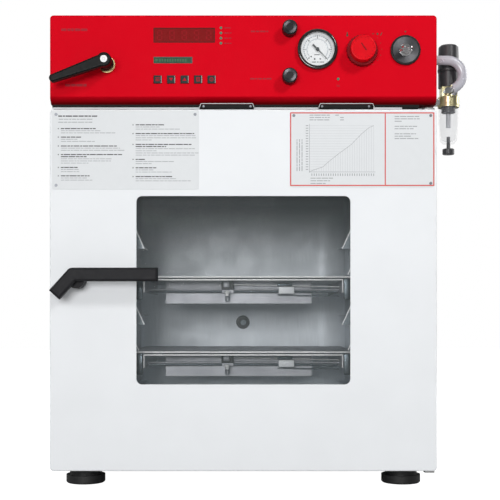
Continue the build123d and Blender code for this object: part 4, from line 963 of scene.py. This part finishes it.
def set_world():
    """White behind the object, and a faint even light on it."""
    world = bpy.data.worlds.new("studio")
    bpy.context.scene.world = world
    world.use_nodes = True
    tree = world.node_tree
    tree.nodes.clear()
    path = tree.nodes.new("ShaderNodeLightPath")
    white, soft = tree.nodes.new("ShaderNodeBackground"), tree.nodes.new("ShaderNodeBackground")
    white.inputs["Color"].default_value = (1, 1, 1, 1)
    white.inputs["Strength"].default_value = 1.0
    soft.inputs["Color"].default_value = (1, 1, 1, 1)
    soft.inputs["Strength"].default_value = 0.15
    mix = tree.nodes.new("ShaderNodeMixShader")
    out = tree.nodes.new("ShaderNodeOutputWorld")
    tree.links.new(path.outputs["Is Camera Ray"], mix.inputs["Fac"])
    tree.links.new(soft.outputs["Background"], mix.inputs[1])
    tree.links.new(white.outputs["Background"], mix.inputs[2])
    tree.links.new(mix.outputs["Shader"], out.inputs["Surface"])


def set_lights():
    area_light("key", (1.2, -1.9, 1.75), (0.0, -0.2, 0.45), (0.35, 0.35), 20)
    area_light("front", (-0.45, -3.0, 0.70), (0.0, -0.2, 0.34), (1.2, 0.6), 44.5)
    area_light("fill", (-1.8, -1.9, 1.0), (0.0, -0.2, 0.4), (1.6, 1.6), 3)
    area_light("top", (0.0, -0.2, 2.4), (0.0, 0.0, 0.6), (2.0, 2.0), 8)
    area_light("back", (0.4, 2.4, 1.3), (0.0, 0.2, 0.4), (1.8, 1.4), 34)
    area_light("right", (2.6, 0.7, 1.2), (0.3, 0.0, 0.4), (1.4, 1.4), 24)
    area_light("left", (-2.6, 0.7, 1.2), (-0.3, 0.0, 0.4), (1.4, 1.4), 24)


# ------------------------------------------------------------------ build
dress_cad()
plates_y = box_of("door_plates")[0].y
print_info_plate(plates_y)
print_chart_plate(plates_y)
dress_display()
dress_lcd()
dress_buttons()
print_panel_marks(box_of("control_panel")[0].y)
dress_gauge()
dress_valve_knob("air_valve")
dress_valve_knob("gas_valve")
dress_thermostat()
dress_key_switch()
dress_lever()
dress_filter()
dress_trim()
dress_port()
dress_rails()
dress_shelf("upper_shelf", "top_rack")
dress_shelf("lower_shelf", "bottom_rack")
set_camera()
bpy.context.scene.view_settings.view_transform = "Standard"
set_floor()
set_world()
set_lights()
